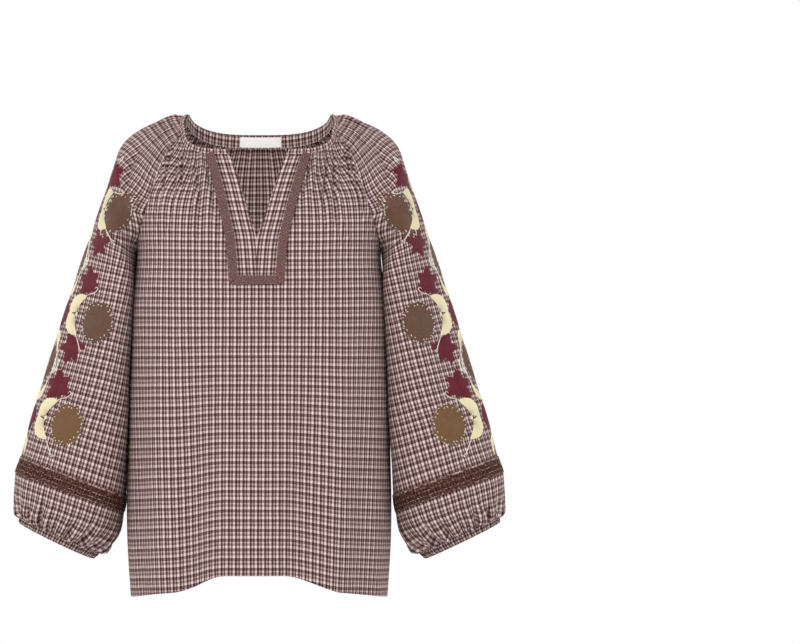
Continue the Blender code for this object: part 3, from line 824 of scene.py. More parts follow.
def sleeve_marks():
    """The share down the head and the station down the tube, for each row of the sleeve."""
    shares = np.linspace(0, 1, HEAD_CELLS + 1)[:-1] ** 0.95
    tube = np.linspace(0, BAND_STATION, TUBE_CELLS + 1)
    puff = np.linspace(BAND_STATION, PUFF_END, PUFF_CELLS + 1)[1:]
    stations = np.concatenate([tube, puff])
    return np.concatenate([shares, np.ones(len(stations))]), np.concatenate([np.zeros(HEAD_CELLS), stations])


def head_depth(place, share):
    """How far the cloth of the sleeve's head moves out: its gathers and the crease into the armpit."""
    out = gather_depth(place, "sleeve_head", HEAD_LENGTH * share, seed=0.6)
    crease = along(CREASE, share)
    sewn = inside(place, 0.05)
    for centre in (crease.place, 1 - crease.place):
        out = out - sewn * crease.depth * bell(place - centre, CREASE_SPREAD)
    armpit = 1 - ease(0.75, 1.0, share)
    return out + sewn * armpit * HEAD_CREASE * ripple(26 * place, 14 * share, waves=4, seed=2.2)


def tube_depth(place, station):
    """How far the cloth of the sleeve's tube moves out: long folds, and gathers into the cuff."""
    out = 0.0
    for fold in SLEEVE_FOLDS:
        grow = ease(fold.start, fold.start + 1.2, station) * (1 - ease(fold.end - 1.2, fold.end, station))
        out = out + fold.depth * grow * bell(place - fold.place, fold.spread)
    creases = ripple(7 * TURN * place, 1.1 * station, waves=3, seed=0.4)
    out = out + SLEEVE_CREASE * inside(place, 0.04) * ease(0, 0.8, station) * creases
    number = np.floor(place * CUFF_GATHERS)
    uneven = 0.8 + 0.45 * np.sin(2.1 * number + 0.7)
    length = 1.1 + 0.9 * np.sin(1.3 * number + 0.4) ** 2
    deepen = ease(8.9 - length * 1.6, 8.5, station) * mix(1.0, 0.55, ease(8.5, PUFF_END, station))
    ridge = np.abs(np.cos(np.pi * CUFF_GATHERS * place)) ** 0.7 * 2 - 1
    fine = 0.35 * np.sin(2 * TURN * CUFF_GATHERS * place + 1.5 * station) * ease(7.0, 8.6, station)
    return out + PUFF_DEPTH * deepen * (uneven * ridge + fine)


def soften(points, place):
    """Smooth the rows about the armpit into each other, except beside the seams."""
    rows = slice(HEAD_CELLS - SOFT_ROWS, HEAD_CELLS + SOFT_ROWS)
    free = inside(place, 0.1)[None, :, None]
    for _ in range(SOFT_PASSES):
        part = points[rows]
        eased = part.copy()
        eased[1:-1] = (part[:-2] + 2 * part[1:-1] + part[2:]) / 4
        points[rows] = mix(part, eased, free)


def sleeve_grid():
    """The left sleeve: points with folds, outward directions of its plain form, and cloth coordinates."""
    shares, stations = sleeve_marks()
    place = np.linspace(0, 1, RING_CELLS + 1)
    head = (stations == 0) & (shares < 1)
    rows = list(zip(head, shares, stations))
    plain = np.array([head_row(share) if above else tube_row(station) for above, share, station in rows])
    depth = np.array([
        head_depth(place, share) if above else tube_depth(place, station) for above, share, station in rows
    ])
    soften(plain, place)
    pinch = seam_pinch(RING_CELLS + 1)
    depth = depth + (1 - ease(*PINCH_FADE, shares))[:, None] * (pinch + pinch[::-1])
    normals = grid_normals(plain)
    normals[~head] = grid_normals(plain, closed=True)[~head]
    points = plain + normals * depth[..., None]
    points[~head, -1] = points[~head, 0]
    return points, normals, sleeve_cloth(plain, shares, stations, head)


def sleeve_cloth(plain, shares, stations, head):
    """The sleeve's cloth coordinates: across from its top line, and down it from the neck."""
    middle = RING_CELLS // 2
    lengths = row_lengths(plain)
    across = lengths - lengths[:, middle : middle + 1]
    gathered = along(GATHERED, shares).head
    band_row = int(np.argmin(np.abs(stations - BAND_STATION)))
    drawn_up = across[band_row, -1] / np.maximum(across[:, -1], 1)
    wide = np.where(stations > BAND_STATION, drawn_up, gathered)
    top = plain[:, middle]
    way = unit(np.gradient(top, axis=0))
    way = unit(np.where(head[:, None], mix(way, SLEEVE_FALL, 0.5), SLEEVE_FALL))
    skew = np.einsum("rcx,rx->rc", plain - top[:, None], way)
    return np.stack([across * wide[:, None], line_lengths(top)[:, None] + skew * head[:, None]], axis=-1)


def mesh_piece(name, points, faces, uvs, finish, thickness=0.0):
    """A mesh object in metres; uvs gives each point's cloth coordinates, or is None."""
    mesh = bpy.data.meshes.new(name)
    mesh.from_pydata((np.asarray(points) * MM).tolist(), [], faces)
    if uvs is not None:
        layer = mesh.uv_layers.new(name="cloth")
        order = np.empty(len(mesh.loops), int)
        mesh.loops.foreach_get("vertex_index", order)
        layer.data.foreach_set("uv", (np.asarray(uvs)[order] * MM).ravel())
    mesh.shade_smooth()
    mesh.materials.append(finish)
    piece = bpy.data.objects.new(name, mesh)
    bpy.context.scene.collection.objects.link(piece)
    if thickness:
        shell = piece.modifiers.new("thickness", "SOLIDIFY")
        shell.thickness = thickness * MM
        shell.offset = -1.0
    return piece


def grid_faces(rows, columns, start=0):
    """The quads of a grid of rows by columns points, seen from outside."""
    corners = [start + r * columns + c for r in range(rows - 1) for c in range(columns - 1)]
    return [(a, a + columns, a + columns + 1, a + 1) for a in corners]


def grid_piece(name, grids, finish, thickness=0.0, weld=0.02):
    """A piece from one or more grids of (points, uvs), welded where they meet."""
    points, uvs, faces = [], [], []
    for grid, cloth in grids:
        grid, cloth = np.asarray(grid), np.asarray(cloth)
        faces += grid_faces(grid.shape[0], grid.shape[1], sum(len(p) for p in points))
        points.append(grid.reshape(-1, 3))
        uvs.append(cloth.reshape(-1, 2))
    piece = mesh_piece(name, np.concatenate(points), faces, np.concatenate(uvs), finish, thickness)
    shape = bmesh.new()
    shape.from_mesh(piece.data)
    bmesh.ops.remove_doubles(shape, verts=shape.verts, dist=weld * MM)
    shape.to_mesh(piece.data)
    shape.free()
    return piece


def mirrored(points, uvs):
    """A left grid's points and cloth coordinates for the wearer's right side."""
    return points[:, ::-1] * np.array([-1.0, 1.0, 1.0]), uvs[:, ::-1] * np.array([-1.0, 1.0])


def placed(piece, node=None):
    """The piece rides the blouse, and takes a solid's place."""
    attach(piece, "root")
    if node:
        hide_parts(node)


def on_front(x, z, out):
    """Points of the front this far to the wearer's left and at this height, moved out from it."""
    angle = np.sign(x) * torso_angle(np.abs(x), z)
    step = 0.5
    round_step = torso_point(angle + step, z) - torso_point(angle - step, z)
    up_step = torso_point(angle, z + step) - torso_point(angle, z - step)
    move = fold_depth(angle, z) + crumple(angle, z) + out
    return torso_point(angle, z) + unit(np.cross(round_step, up_step)) * move[..., None]


def neckline_rise(x):
    """How much higher the front neckline is at this distance from the centre than at the slit."""
    start = torso_angle(PLACKET_TOP_X, YOKE[0].front_z)
    end = torso_angle(RAGLAN[0].front_x, RAGLAN[0].front_z)
    share = np.clip((torso_angle(np.abs(x), YOKE[0].front_z) - start) / (end - start), 0, 1)
    return (RAGLAN[0].front_z - YOKE[0].front_z) * share**NECKLINE_POWER


def build_placket(finish):
    """The two strips turned out beside the slit, which join below it."""
    grids = []
    down = np.linspace(0, 1, PLACKET_ROWS)
    over = np.linspace(0, 1, PLACKET_COLUMNS)
    for side in (1, -1):
        points, cloth = [], []
        for share, z in zip(down, mix(YOKE[0].front_z, PLACKET_END_Z + 3, down)):
            line = along(PLACKET, z)
            inner = slit_edge(line.slit_x, z)
            outer = (line.trim_inner_x + line.trim_outer_x) / 2
            x = mix(inner, outer, over)
            height = z + neckline_rise(x) * (1 - share) ** 2
            edge = 1 - 0.5 * bell(x - inner, 1.2) * (inner > 0)
            points.append(on_front(side * x, height, PLACKET_OUT * edge)[::side])
            cloth.append(np.stack([side * (x - outer + 26), height - PLACKET_END_Z], axis=-1)[::side])
        grids.append((points, cloth))
    return grid_piece("placket_cloth", grids, finish, CLOTH)


def trim_path():
    """The middle of the trim in (x, z): down the wearer's left, round two corners and up the right."""
    foot = (TRIM_TURN_Z + PLACKET_END_Z) / 2
    heights = np.linspace(YOKE[0].front_z, foot + TRIM_CORNER, 90)
    lines = along(PLACKET, heights)
    middle = (lines.trim_inner_x + lines.trim_outer_x) / 2
    side = np.stack([middle, heights + neckline_rise(middle) * ease(-90, -51, heights)], axis=-1)
    turn = np.radians(np.linspace(0, -90, 10))[1:]
    corner = np.array([middle[-1] - TRIM_CORNER, foot + TRIM_CORNER])
    bend = corner + TRIM_CORNER * np.stack([np.cos(turn), np.sin(turn)], axis=-1)
    left = np.concatenate([side, bend])
    bar_x = np.linspace(left[-1, 0], -left[-1, 0], 16)[1:-1]
    bar = np.stack([bar_x, np.full(len(bar_x), foot)], axis=-1)
    return np.concatenate([left, bar, (left * (-1, 1))[::-1]])


def build_trim(finish):
    """A woven braid with corded and scalloped edges, mitred softly round the placket's lower corners."""
    path, away = trim_path(), beside(trim_path())
    lengths = line_lengths(path)
    even = np.linspace(0, lengths[-1], int(lengths[-1] / TRIM_STEP))
    path, away = at_lengths(path, lengths, even), at_lengths(away, lengths, even)
    points, cloth = [], []
    for across in np.linspace(-TRIM_WIDTH / 2, TRIM_WIDTH / 2, TRIM_COLUMNS):
        outermost = (abs(across) / (TRIM_WIDTH / 2)) ** 4
        scallop = SCALLOP_DEPTH * np.cos(TURN * even / SCALLOP_STEP) * outermost
        place = path + away * (across + np.sign(across) * scallop)[:, None]
        edge = bell(abs(across) - TRIM_WIDTH / 2 + 1.0, 0.7)
        rib = TRIM_RIB * np.cos(TURN * even / TRIM_RIB_STEP + np.pi * np.sign(across) * (abs(across) > 2))
        points.append(on_front(place[:, 0], place[:, 1], TRIM_OUT + TRIM_CORD * edge + rib * (1 - edge)))
        cloth.append(np.stack([np.full(len(even), across), even], axis=-1))
    grid = tuple(np.array(kind).transpose(1, 0, 2)[:, ::-1] for kind in (points, cloth))
    return grid_piece("placket_trim_braid", [grid], finish, BRAID)


def trim_stitches():
    """A line of thread along the trim's inner edge, as points and their outward directions."""
    path = trim_path()
    place = path - beside(path) * TRIM_STITCH_X
    line = on_front(place[:, 0], place[:, 1], TRIM_OUT + TRIM_CORD)
    return line, on_front(place[:, 0], place[:, 1], TRIM_OUT + TRIM_CORD + 1) - line


def neck_line():
    """Round the neckline, from one edge of the slit to the other: places, and how the cloth rises there."""
    half = []
    over = np.linspace(0, 1, NECK_HALF_COLUMNS)
    for share in (YOKE[0].share, YOKE[1].share):
        centre_z, seam_z, end_angle = row_ends(share, 0.0, True)
        start = torso_angle(along(PLACKET, centre_z).slit_x, centre_z)
        front_z = mix(centre_z, seam_z, over**NECKLINE_POWER)
        front = torso_point(mix(start, end_angle, over), front_z)[:-1]
        centre_z, seam_z, end_angle = row_ends(share, 0.0, False)
        back_z = mix(centre_z, seam_z, over[::-1] ** BACK_NECK_POWER)
        back = torso_point(180 - end_angle * over[::-1], back_z)
        half.append(np.concatenate([front, head_row(share)[:-1], back]))
    upper, lower = [np.concatenate([line, (line * (-1, 1, 1))[-2::-1]]) for line in half]
    lengths = line_lengths(upper)
    even = np.linspace(0, lengths[-1], NECK_COLUMNS)
    return at_lengths(upper, lengths, even), unit(at_lengths(unit(upper - lower), lengths, even)), even


def neck_frame():
    """The neckline, the ways up and out from it, and the distance along it."""
    line, way, even = neck_line()
    turned = unit(way + np.array([0, 0, BINDING_LIFT]))
    return line, way, turned, unit(np.cross(np.gradient(line, axis=0), turned)), even


def build_binding(finish):
    """The bound neckline: a narrow roll of bias cloth, puckered a little by the gathers in it."""
    line, way, turned, away, even = neck_frame()
    points, cloth = [], []
    pucker = 0.3 * np.sin(TURN * even / 7.3) + 0.25 * np.sin(TURN * even / 4.1 + 1)
    for up, out, over in BINDING_SECTION:
        bend = np.minimum(up, BINDING_FOOT)
        lean = np.maximum(0.0, up - BINDING_FOOT)
        place = line + way * (0.6 + bend) + turned * lean + away * (out + pucker * 0.5 * (up > 1))[:, None]
        points.append(place)
        cloth.append(np.stack([even, np.full(len(even), over)], axis=-1))
    return grid_piece("neck_binding_cloth", [(points, cloth)], finish, CLOTH)


def inward(points):
    """The level directions from the neckline to the middle of the neck."""
    return unit(np.stack([-points[:, 0], NECK_MIDDLE_Y - points[:, 1], np.zeros(len(points))], axis=-1))


def facing_lines():
    """The facing's upper and lower edges inside the neck, round the back from shoulder to shoulder."""
    line, _, turned, _, even = neck_frame()
    kept = slice(int(len(line) * FACING_SHARE), int(len(line) * (1 - FACING_SHARE)))
    top = line[kept] + turned[kept] * (BINDING_HEIGHT - 1.0) + inward(line[kept]) * FACING_IN
    foot = top - turned[kept] * FACING_HEIGHT / 3 + inward(line[kept]) * FACING_LEAN
    foot[:, 2] -= FACING_HEIGHT * 2 / 3
    return top, foot, even[kept]


def build_facing(finish):
    """The facing inside the neck."""
    top, foot, even = facing_lines()
    points, cloth = [], []
    for share in np.linspace(0, 1, FACING_ROWS):
        wave = 0.35 * np.sin(even / 5.1) * share
        points.append(mix(top, foot, share) + inward(top) * wave[:, None])
        cloth.append(np.stack([even, np.full(len(even), FACING_HEIGHT * (1 - share))], axis=-1))
    return grid_piece("neck_facing_cloth", [(points, cloth)], finish, CLOTH)


def build_label(finish):
    """The blank label on the facing, whose ends are tucked under."""
    top, foot, _ = facing_lines()
    order = np.argsort(top[:, 0])
    x = np.linspace(-LABEL_WIDTH / 2, LABEL_WIDTH / 2, LABEL_COLUMNS)
    points, cloth = [], []
    for drop in np.linspace(LABEL_DROP, LABEL_DROP + LABEL_HEIGHT, LABEL_ROWS):
        row = mix(top, foot, drop / FACING_HEIGHT)[order]
        place = at_lengths(row, top[order, 0], x)
        ends = LABEL_TUCK * bell(LABEL_WIDTH / 2 - np.abs(x), LABEL_TUCK_SPREAD)
        place[:, 1] -= LABEL_OUT + ends + 0.25 * np.sin(x / 9.0 + drop / 6.0)
        points.append(place)
        cloth.append(np.stack([x, np.full(len(x), -drop)], axis=-1))
    return grid_piece("neck_label_satin", [(points, cloth)], finish, CLOTH)


def ring_moved(station, ahead, out, cells):
    """A closed ring of the sleeve's tube, moved out. Its directions look ahead to the next ring."""
    ring = tube_row(station, cells)
    normal = grid_normals(np.stack([ring, tube_row(station + ahead, cells)]), closed=True)[0]
    moved = ring + normal * out[:, None]
    moved[-1] = moved[0]
    return moved


def build_cuff():
    """An elastic casing on the left sleeve: a soft roll of cloth, drawn up into fine gathers."""
    points, cloth = [], []
    place = np.linspace(0, 1, CUFF_CELLS + 1)
    around = TURN * place
    for share in np.linspace(0, 1, CUFF_ROWS):
        crown = 1.0 - (2 * share - 1) ** 4
        gather = np.cos(CUFF_GATHERS * around) + 0.5 * np.sin(2 * CUFF_GATHERS * around + 1 + 2 * share)
        gather = gather + 0.25 * np.sin(37 * around + 9 * share)
        out = 0.4 + 0.9 * crown + 1.1 * gather
        points.append(ring_moved(PUFF_END + mix(CUFF_GAP, 1.0, share), 0.08, out, CUFF_CELLS))
        cloth.append(np.stack([CUFF_LENGTH * place, np.full(len(place), -CUFF_WIDTH * share)], axis=-1))
    return np.array(points), np.array(cloth)


def lace_relief(across, around):
    """The lace's raised cords, bars and scallops: across from its upper edge, around along it, both in mm."""
    cords = sum(bell(across - place, LACE_CORD_SPREAD) for place in LACE_CORD_PLACES)
    bars = 0.55 * np.maximum(0, np.cos(TURN * around / LACE_REPEAT)) ** 3
    ladder = bars * ease(7.5, 9.0, across) * (1 - ease(15.0, 16.5, across))
    edge = 0.5 * np.maximum(0, np.cos(np.pi * around / LACE_REPEAT + np.pi / 2 * (across > 12))) ** 2
    upper = ease(1, 3, across) * (1 - ease(5, 8, across))
    lower = ease(16, 18, across) * (1 - ease(21, 23, across))
    return np.maximum(cords, np.maximum(ladder, edge * (upper + lower)))


def build_lace():
    """The lace band on the left sleeve: points and cloth coordinates of a finely worked strip."""
    points, cloth = [], []
    place = np.linspace(0, 1, LACE_CELLS + 1)
    for across in np.linspace(0, LACE_WIDTH, LACE_ROWS):
        station = mix(BAND_STATION + 0.02, BAND_STATION + 0.98, across / LACE_WIDTH)
        around = line_lengths(tube_row(station, LACE_CELLS))
        around = around * LACE_REPEATS * LACE_REPEAT / around[-1]
        out = tube_depth(place, station) + CLOTH_OUT + LACE_OUT + LACE_RELIEF * lace_relief(across, around)
        points.append(ring_moved(station, 0.2, out, LACE_CELLS))
        cloth.append(np.stack([around, np.full(len(place), LACE_WIDTH - across)], axis=-1))
    return np.array(points), np.array(cloth)


def sleeve_map(points, normals):
    """The left sleeve's outside by even steps across from its top line, for placing embroidery."""
    lengths = row_lengths(points)
    across = lengths - lengths[:, RING_CELLS // 2, None]
    spots = np.arange(-MAP_REACH, MAP_REACH + 1, MAP_STEP)
    layers = np.concatenate([points, normals], axis=2)
    rows = np.array([at_lengths(layer, over, spots) for layer, over in zip(layers, across)])
    top = points[:, RING_CELLS // 2]
    return rows, line_lengths(top), top[:, 2]


def on_sleeve(found, across, down, out):
    """Points of the left sleeve by distances across from its top line and down along it."""
    layers, lengths, _ = found
    row = np.interp(down, lengths, np.arange(len(lengths)))
    place = looked_up(layers, row, (across + MAP_REACH) / MAP_STEP)
    return place[:, :3] + place[:, 3:] * np.asarray(out)[:, None]


def star_patch(size, radius, rings=7, spokes=72):
    """A padded shape about its centre: flat places, heights (0 at the edge) and stitch coordinates."""
    turn = np.linspace(0, TURN, spokes + 1)
    reach = radius(turn)
    share = np.linspace(0.02, 1, rings)[:, None]
    x = share * reach * np.cos(turn) * size.wide / 2
    y = share * reach * np.sin(turn) * size.tall / 2
    rise = (1 - share**4) * np.ones_like(x)
    stitch = np.stack([share * reach * size.wide / 2, turn * np.ones_like(share) * 9], axis=-1)
    return np.stack([x, y], axis=-1), rise, stitch


def leaf_patch(start, bend, end, width, teeth=9, rings=7, steps=40, rounded=0.25):
    """A padded leaf along a bent line, broad at its start, pointed at its end, with a toothed edge."""
    t = np.linspace(0, 1, steps + 1)[:, None]
    start, bend, end = (np.array(p, float) for p in (start, bend, end))
    line = start * (1 - t) ** 2 + bend * 2 * t * (1 - t) + end * t**2
    t = t[:, 0]
    half = width / 2 * np.sin(np.pi * (rounded + (1 - rounded) * t)) ** 0.75
    half = half * (1 + 0.06 * np.sin(TURN * teeth * t))
    over = np.linspace(-1, 1, rings)[:, None]
    place = line[None] + beside(line)[None] * (over * half)[..., None]
    stitch = np.stack([line_lengths(line) * np.ones_like(over), over * half], axis=-1)
    return place, (1 - over**4) * np.sin(np.pi * t) ** 0.3, stitch


def stem_patch(name, way=1):
    """A thin stem of thread through a few places, or its mirror image."""
    width, bends = STEMS[name]
    bends = np.array(bends, float) * (way, 1)
    t = np.linspace(0, len(bends) - 1, 12 * (len(bends) - 1) + 1)
    line = at_lengths(bends, np.arange(len(bends)), t)
    for _ in range(6):
        line[1:-1] = (line[:-2] + 2 * line[1:-1] + line[2:]) / 4
    over = np.linspace(-1, 1, 5)[:, None]
    half = width / 2 * np.minimum(1, 0.3 + 3 * np.minimum(t, t[-1] - t) / t[-1])
    place = line[None] + beside(line)[None] * (over * half)[..., None]
    stitch = np.stack([t * 4 * np.ones_like(over), over * half], axis=-1)
    return place, (1 - over**2) * np.ones_like(half), stitch


def flower_radius(turn):
    """A leafy flower: unequal lobes round its middle, with a toothed edge."""
    reach = FLOWER_HEART
    for lobe in FLOWER_LOBES:
        away = (np.degrees(turn) - lobe.angle + 180) % 360 - 180
        reach = reach + lobe.reach * bell(away, lobe.spread)
    return reach * (1 + 0.05 * np.sin(23 * turn) + 0.03 * np.sin(37 * turn + 1))


def disc_radius(turn):
    return 1 + 0.02 * np.sin(26 * turn) + 0.012 * np.sin(7 * turn)


def egg_radius(turn):
    pointed = 1 - 0.2 * np.maximum(0, -np.sin(turn)) * np.abs(np.cos(turn))
    return pointed * (1 + 0.02 * np.sin(30 * turn))


def ray(turn):
    return np.array([np.cos(turn), np.sin(turn)])


def leaf_pair(name, upright=False):
    """Two leaves that spring from one place and bend up to their tips, as a smile or as a bracket."""
    size = SHAPES[name]
    leaves = []
    for side in (1, -1):
        start = (side * 0.8, -size.tall / 2 + size.notch)
        bend = (side * size.wide * 0.34, -size.tall * 0.55)
        end = (side * size.wide / 2, size.tall / 2)
        step = -1 if upright else 1
        leaves.append(("cream", leaf_patch(start[::step], bend[::step], end[::step], size.breadth)))
    return leaves


def dashes(name, thread):
    """Short stitches round a centre."""
    row = DASHES[name]
    patches = []
    for number in range(row.count):
        turn = TURN * (number + 0.35 * np.sin(2.1 * number)) / row.count
        slant = turn + row.lean * np.sin(4.7 * number + 1)
        start = ray(turn) * row.inner * (1 + row.swing * np.sin(3.3 * number))
        end = start + ray(slant) * row.length * (1 + 0.25 * np.sin(5.1 * number))
        dash = leaf_patch(start, (start + end) / 2, end, row.width, teeth=0, rings=5, steps=6, rounded=0.0)
        patches.append((thread, dash))
    return patches


def turned_over(patches, flip_x=1, flip_y=1):
    """The same shapes seen in a mirror."""
    step = -1 if flip_x * flip_y < 0 else 1
    return [
        (thread, (place[:, ::step] * (flip_x, flip_y), rise[:, ::step], stitch[:, ::step]))
        for thread, (place, rise, stitch) in patches
    ]


def raised(patches):
    """The same shapes lying on other ones."""
    return [(thread, (place, rise + LAYER_RISE, stitch)) for thread, (place, rise, stitch) in patches]


def side_disc(thread):
    """A round of long stitches with a ragged edge, and pale stitches scattered round it."""
    disc = [(thread, star_patch(SHAPES["side_disc"], disc_radius))]
    return disc + dashes("ragged_edge", thread) + raised(dashes("pale_rim", "white"))


def middle_disc():
    """An egg of long stitches, with a line of thread down each side and a caged curl outside it."""
    patches = [("brown", star_patch(SHAPES["middle_disc"], egg_radius))] + raised(dashes("centre", "cream"))
    stems = [(name, way) for way in (1, -1) for name in ("side_line", "cage")]
    return patches + [("white", stem_patch(name, way)) for name, way in stems]


def bracket():
    """Upright leaves whose tips turn outward, with a curl at their notch and a tendril from each tip."""
    patches = leaf_pair("bracket", upright=True)
    patches.append(("cream", star_patch(SHAPES["curl"], flower_radius, rings=4, spokes=30)))
    return raised(patches + [("white", stem_patch(name)) for name in ("upper_tendril", "lower_tendril")])


def motifs():
    """Each motif's shapes about its centre, with the thread of each."""
    flower = [("burgundy", star_patch(SHAPES["flower"], flower_radius, spokes=120))]
    return {
        "flower": flower,
        "flower_down": turned_over(flower, flip_y=-1),
        "smile": leaf_pair("smile") + [("cream", stem_patch("smile"))],
        "arch": turned_over(leaf_pair("arch"), flip_y=-1),
        "bracket": bracket(),
        "red_disc": [("burgundy", star_patch(SHAPES["red_disc"], disc_radius))],
        "side_disc": side_disc("brown"),
        "ochre_disc": side_disc("ochre"),
        "shoulder_disc": turned_over(side_disc("brown"), flip_x=SHOULDER_DISC_WIDTH),
        "middle_disc": middle_disc(),
        "spike": [("white", stem_patch("spike"))],
    }


def motif_turn(found, across, down):
    """How a step sideways and a step up the sleeve, at this place, are steps across and down its map."""
    def at(over, along_it):
        return on_sleeve(found, np.array([over]), np.array([along_it]), np.zeros(1))[0]
    over = (at(across + 4, down) - at(across - 4, down)) / 8
    along_it = (at(across, down + 4) - at(across, down - 4)) / 8
    axis = at(0, down - 30) - at(0, down + 30)
    normal = unit(np.cross(over, along_it))
    up = unit(axis - normal * np.dot(axis, normal))
    sideways = unit(over - up * np.dot(over, up))
    return np.linalg.pinv(np.stack([over, along_it], axis=1)) @ np.stack([sideways, up], axis=1)


def build_embroidery(found, side, finishes):
    """One piece for each colour of thread on a sleeve. side is 1 for the wearer's left."""
    parts = {thread: [] for thread in finishes}
    shapes = motifs()
    _, lengths, heights = found
    for motif in EMBROIDERY:
        down = np.interp(-motif.z, -heights, lengths)
        for way in (1, -1) if motif.across else (1,):
            turn = motif_turn(found, way * motif.across, down)
            for thread, (place, rise, stitch) in turned_over(shapes[motif.motif], flip_x=way):
                steps = place.reshape(-1, 2) @ turn.T
                out = EMBROIDERY_FOOT + EMBROIDERY_RISE * rise.ravel()
                points = on_sleeve(found, way * motif.across + steps[:, 0], down + steps[:, 1], out)
                parts[thread].append((points.reshape(place.shape[:2] + (3,)), stitch))
    pieces = []
    for thread, grids in parts.items():
        if side < 0:
            grids = [mirrored(*grid) for grid in grids]
        grids = [(points[:, ::-1], stitch[:, ::-1]) for points, stitch in grids]
        name = "embroidery_%s_%s" % (thread, "left" if side > 0 else "right")
        pieces.append(grid_piece(name, grids, finishes[thread], weld=0.001))
    return pieces


def build_stitches(name, lines, finish):
    """Lines of machine stitches: small rounded dashes of thread along paths of (points, normals)."""
    points, faces = [], []
    for line, normals in lines:
        lengths = line_lengths(line)
        for begin in np.arange(1.0, lengths[-1] - 3.0, STITCH_STEP):
            start, end = at_lengths(line, lengths, np.array([begin, begin + STITCH]))
            out = at_lengths(normals, lengths, begin)
            side = unit(np.cross(end - start, out)) * STITCH_WIDTH
            middle = (start + end) / 2
            base = len(points)
            points += [start - out * 0.1, end - out * 0.1, middle + side, middle - side]
            points += [middle + out * 0.35, middle - out * 0.3]
            for a, b in ((0, 2), (2, 1), (1, 3), (3, 0)):
                faces.append((base + 4, base + a, base + b))
                faces.append((base + 5, base + b, base + a))
    return mesh_piece(name, points, faces, None, finish)


class Wire:
    """A value in a material's node tree, which can be added to, multiplied and so on."""

    def __init__(self, tree, socket):
        self.tree = tree
        self.socket = socket

    def math(self, operation, *others):
        node = self.tree.nodes.new("ShaderNodeMath")
        node.operation = operation
        for socket, value in zip(node.inputs, (self, *others)):
            if isinstance(value, Wire):
                self.tree.links.new(value.socket, socket)
            else:
                socket.default_value = value
        return Wire(self.tree, node.outputs[0])

    def __add__(self, other):
        return self.math("ADD", other)

    def __sub__(self, other):
        return self.math("SUBTRACT", other)

    def __mul__(self, other):
        return self.math("MULTIPLY", other)

    def wave(self, period, kind="SINE"):
        return (self * (TURN / period)).math(kind)


class Finish:
    """A material worked out from its piece's cloth coordinates, in metres, or from another kind of place."""

    def __init__(self, name, roughness, sheen, place_node="ShaderNodeUVMap", place_output="UV"):
        self.material = bpy.data.materials.new(name)
        self.material.use_nodes = True
        self.tree = self.material.node_tree
        self.shader = self.tree.nodes["Principled BSDF"]
        self.shader.inputs["Roughness"].default_value = roughness
        self.shader.inputs["Sheen Weight"].default_value = sheen
        self.shader.inputs["Sheen Roughness"].default_value = SHEEN_ROUGHNESS
        self.shader.inputs["Specular IOR Level"].default_value = SPECULAR
        place = self.tree.nodes.new(place_node)
        if place_output == "UV":
            place.uv_map = "cloth"
        self.place = place.outputs[place_output]

    def axes(self):
        """The place's first two coordinates."""
        split = self.tree.nodes.new("ShaderNodeSeparateXYZ")
        self.tree.links.new(self.place, split.inputs[0])
        return Wire(self.tree, split.outputs[0]), Wire(self.tree, split.outputs[1])

    def noise(self, scale_x, scale_y, detail=2.0):
        """Noise, -0.5 to 0.5, with a scale for each direction."""
        stretch = self.tree.nodes.new("ShaderNodeMapping")
        stretch.inputs["Scale"].default_value = (scale_x, scale_y, 1)
        self.tree.links.new(self.place, stretch.inputs["Vector"])
        made = self.tree.nodes.new("ShaderNodeTexNoise")
        made.inputs["Scale"].default_value = 1.0
        made.inputs["Detail"].default_value = detail
        self.tree.links.new(stretch.outputs[0], made.inputs["Vector"])
        return Wire(self.tree, made.outputs[0]) - 0.5

    def ramp(self, value, stops):
        """Grey values or colours along a value from 0 to 1."""
        node = self.tree.nodes.new("ShaderNodeValToRGB")
        self.tree.links.new(value.socket, node.inputs[0])
        elements = node.color_ramp.elements
        while len(elements) < len(stops):
            elements.new(0.5)
        for element, (place, colour) in zip(elements, stops):
            element.position = place
            element.color = (*colour, 1) if isinstance(colour, tuple) else (colour, colour, colour, 1)
        return Wire(self.tree, node.outputs[0])

    def colour(self, value, stops):
        self.tree.links.new(self.ramp(value, stops).socket, self.shader.inputs["Base Color"])

    def relief(self, height, distance):
        node = self.tree.nodes.new("ShaderNodeBump")
        node.inputs["Distance"].default_value = distance
        node.inputs["Strength"].default_value = 1.0
        self.tree.links.new(height.socket, node.inputs["Height"])
        self.tree.links.new(node.outputs[0], self.shader.inputs["Normal"])


def check_cotton():
    """A woven check: uneven dark and pale stripes both ways, mixed thread by thread in a plain weave."""
    cloth = Finish("woven_check", 0.95, 0.02)
    across, up = cloth.axes()
    across = across + cloth.noise(14, 30) * WANDER
    up = up + cloth.noise(26, 12) * WANDER
    warp = cloth.ramp((across * (1 / WARP_PERIOD)).math("FRACT"), WARP_STOPS)
    weft = cloth.ramp((up * (1 / WEFT_PERIOD)).math("FRACT"), WEFT_STOPS)
    over = across.wave(THREAD) * up.wave(THREAD)
    share = over.math("MULTIPLY_ADD", WEAVE_SHARE, WEFT_SHARE)
    slubs = cloth.noise(1500, 90) + cloth.noise(90, 1500)
    dark = warp + (weft - warp) * share + slubs * 0.22 + cloth.noise(40, 40, detail=4) * 0.1
    cloth.colour(dark, CHECK_COLOURS)
    cloth.relief(over + slubs, 0.00012)
    return cloth.material


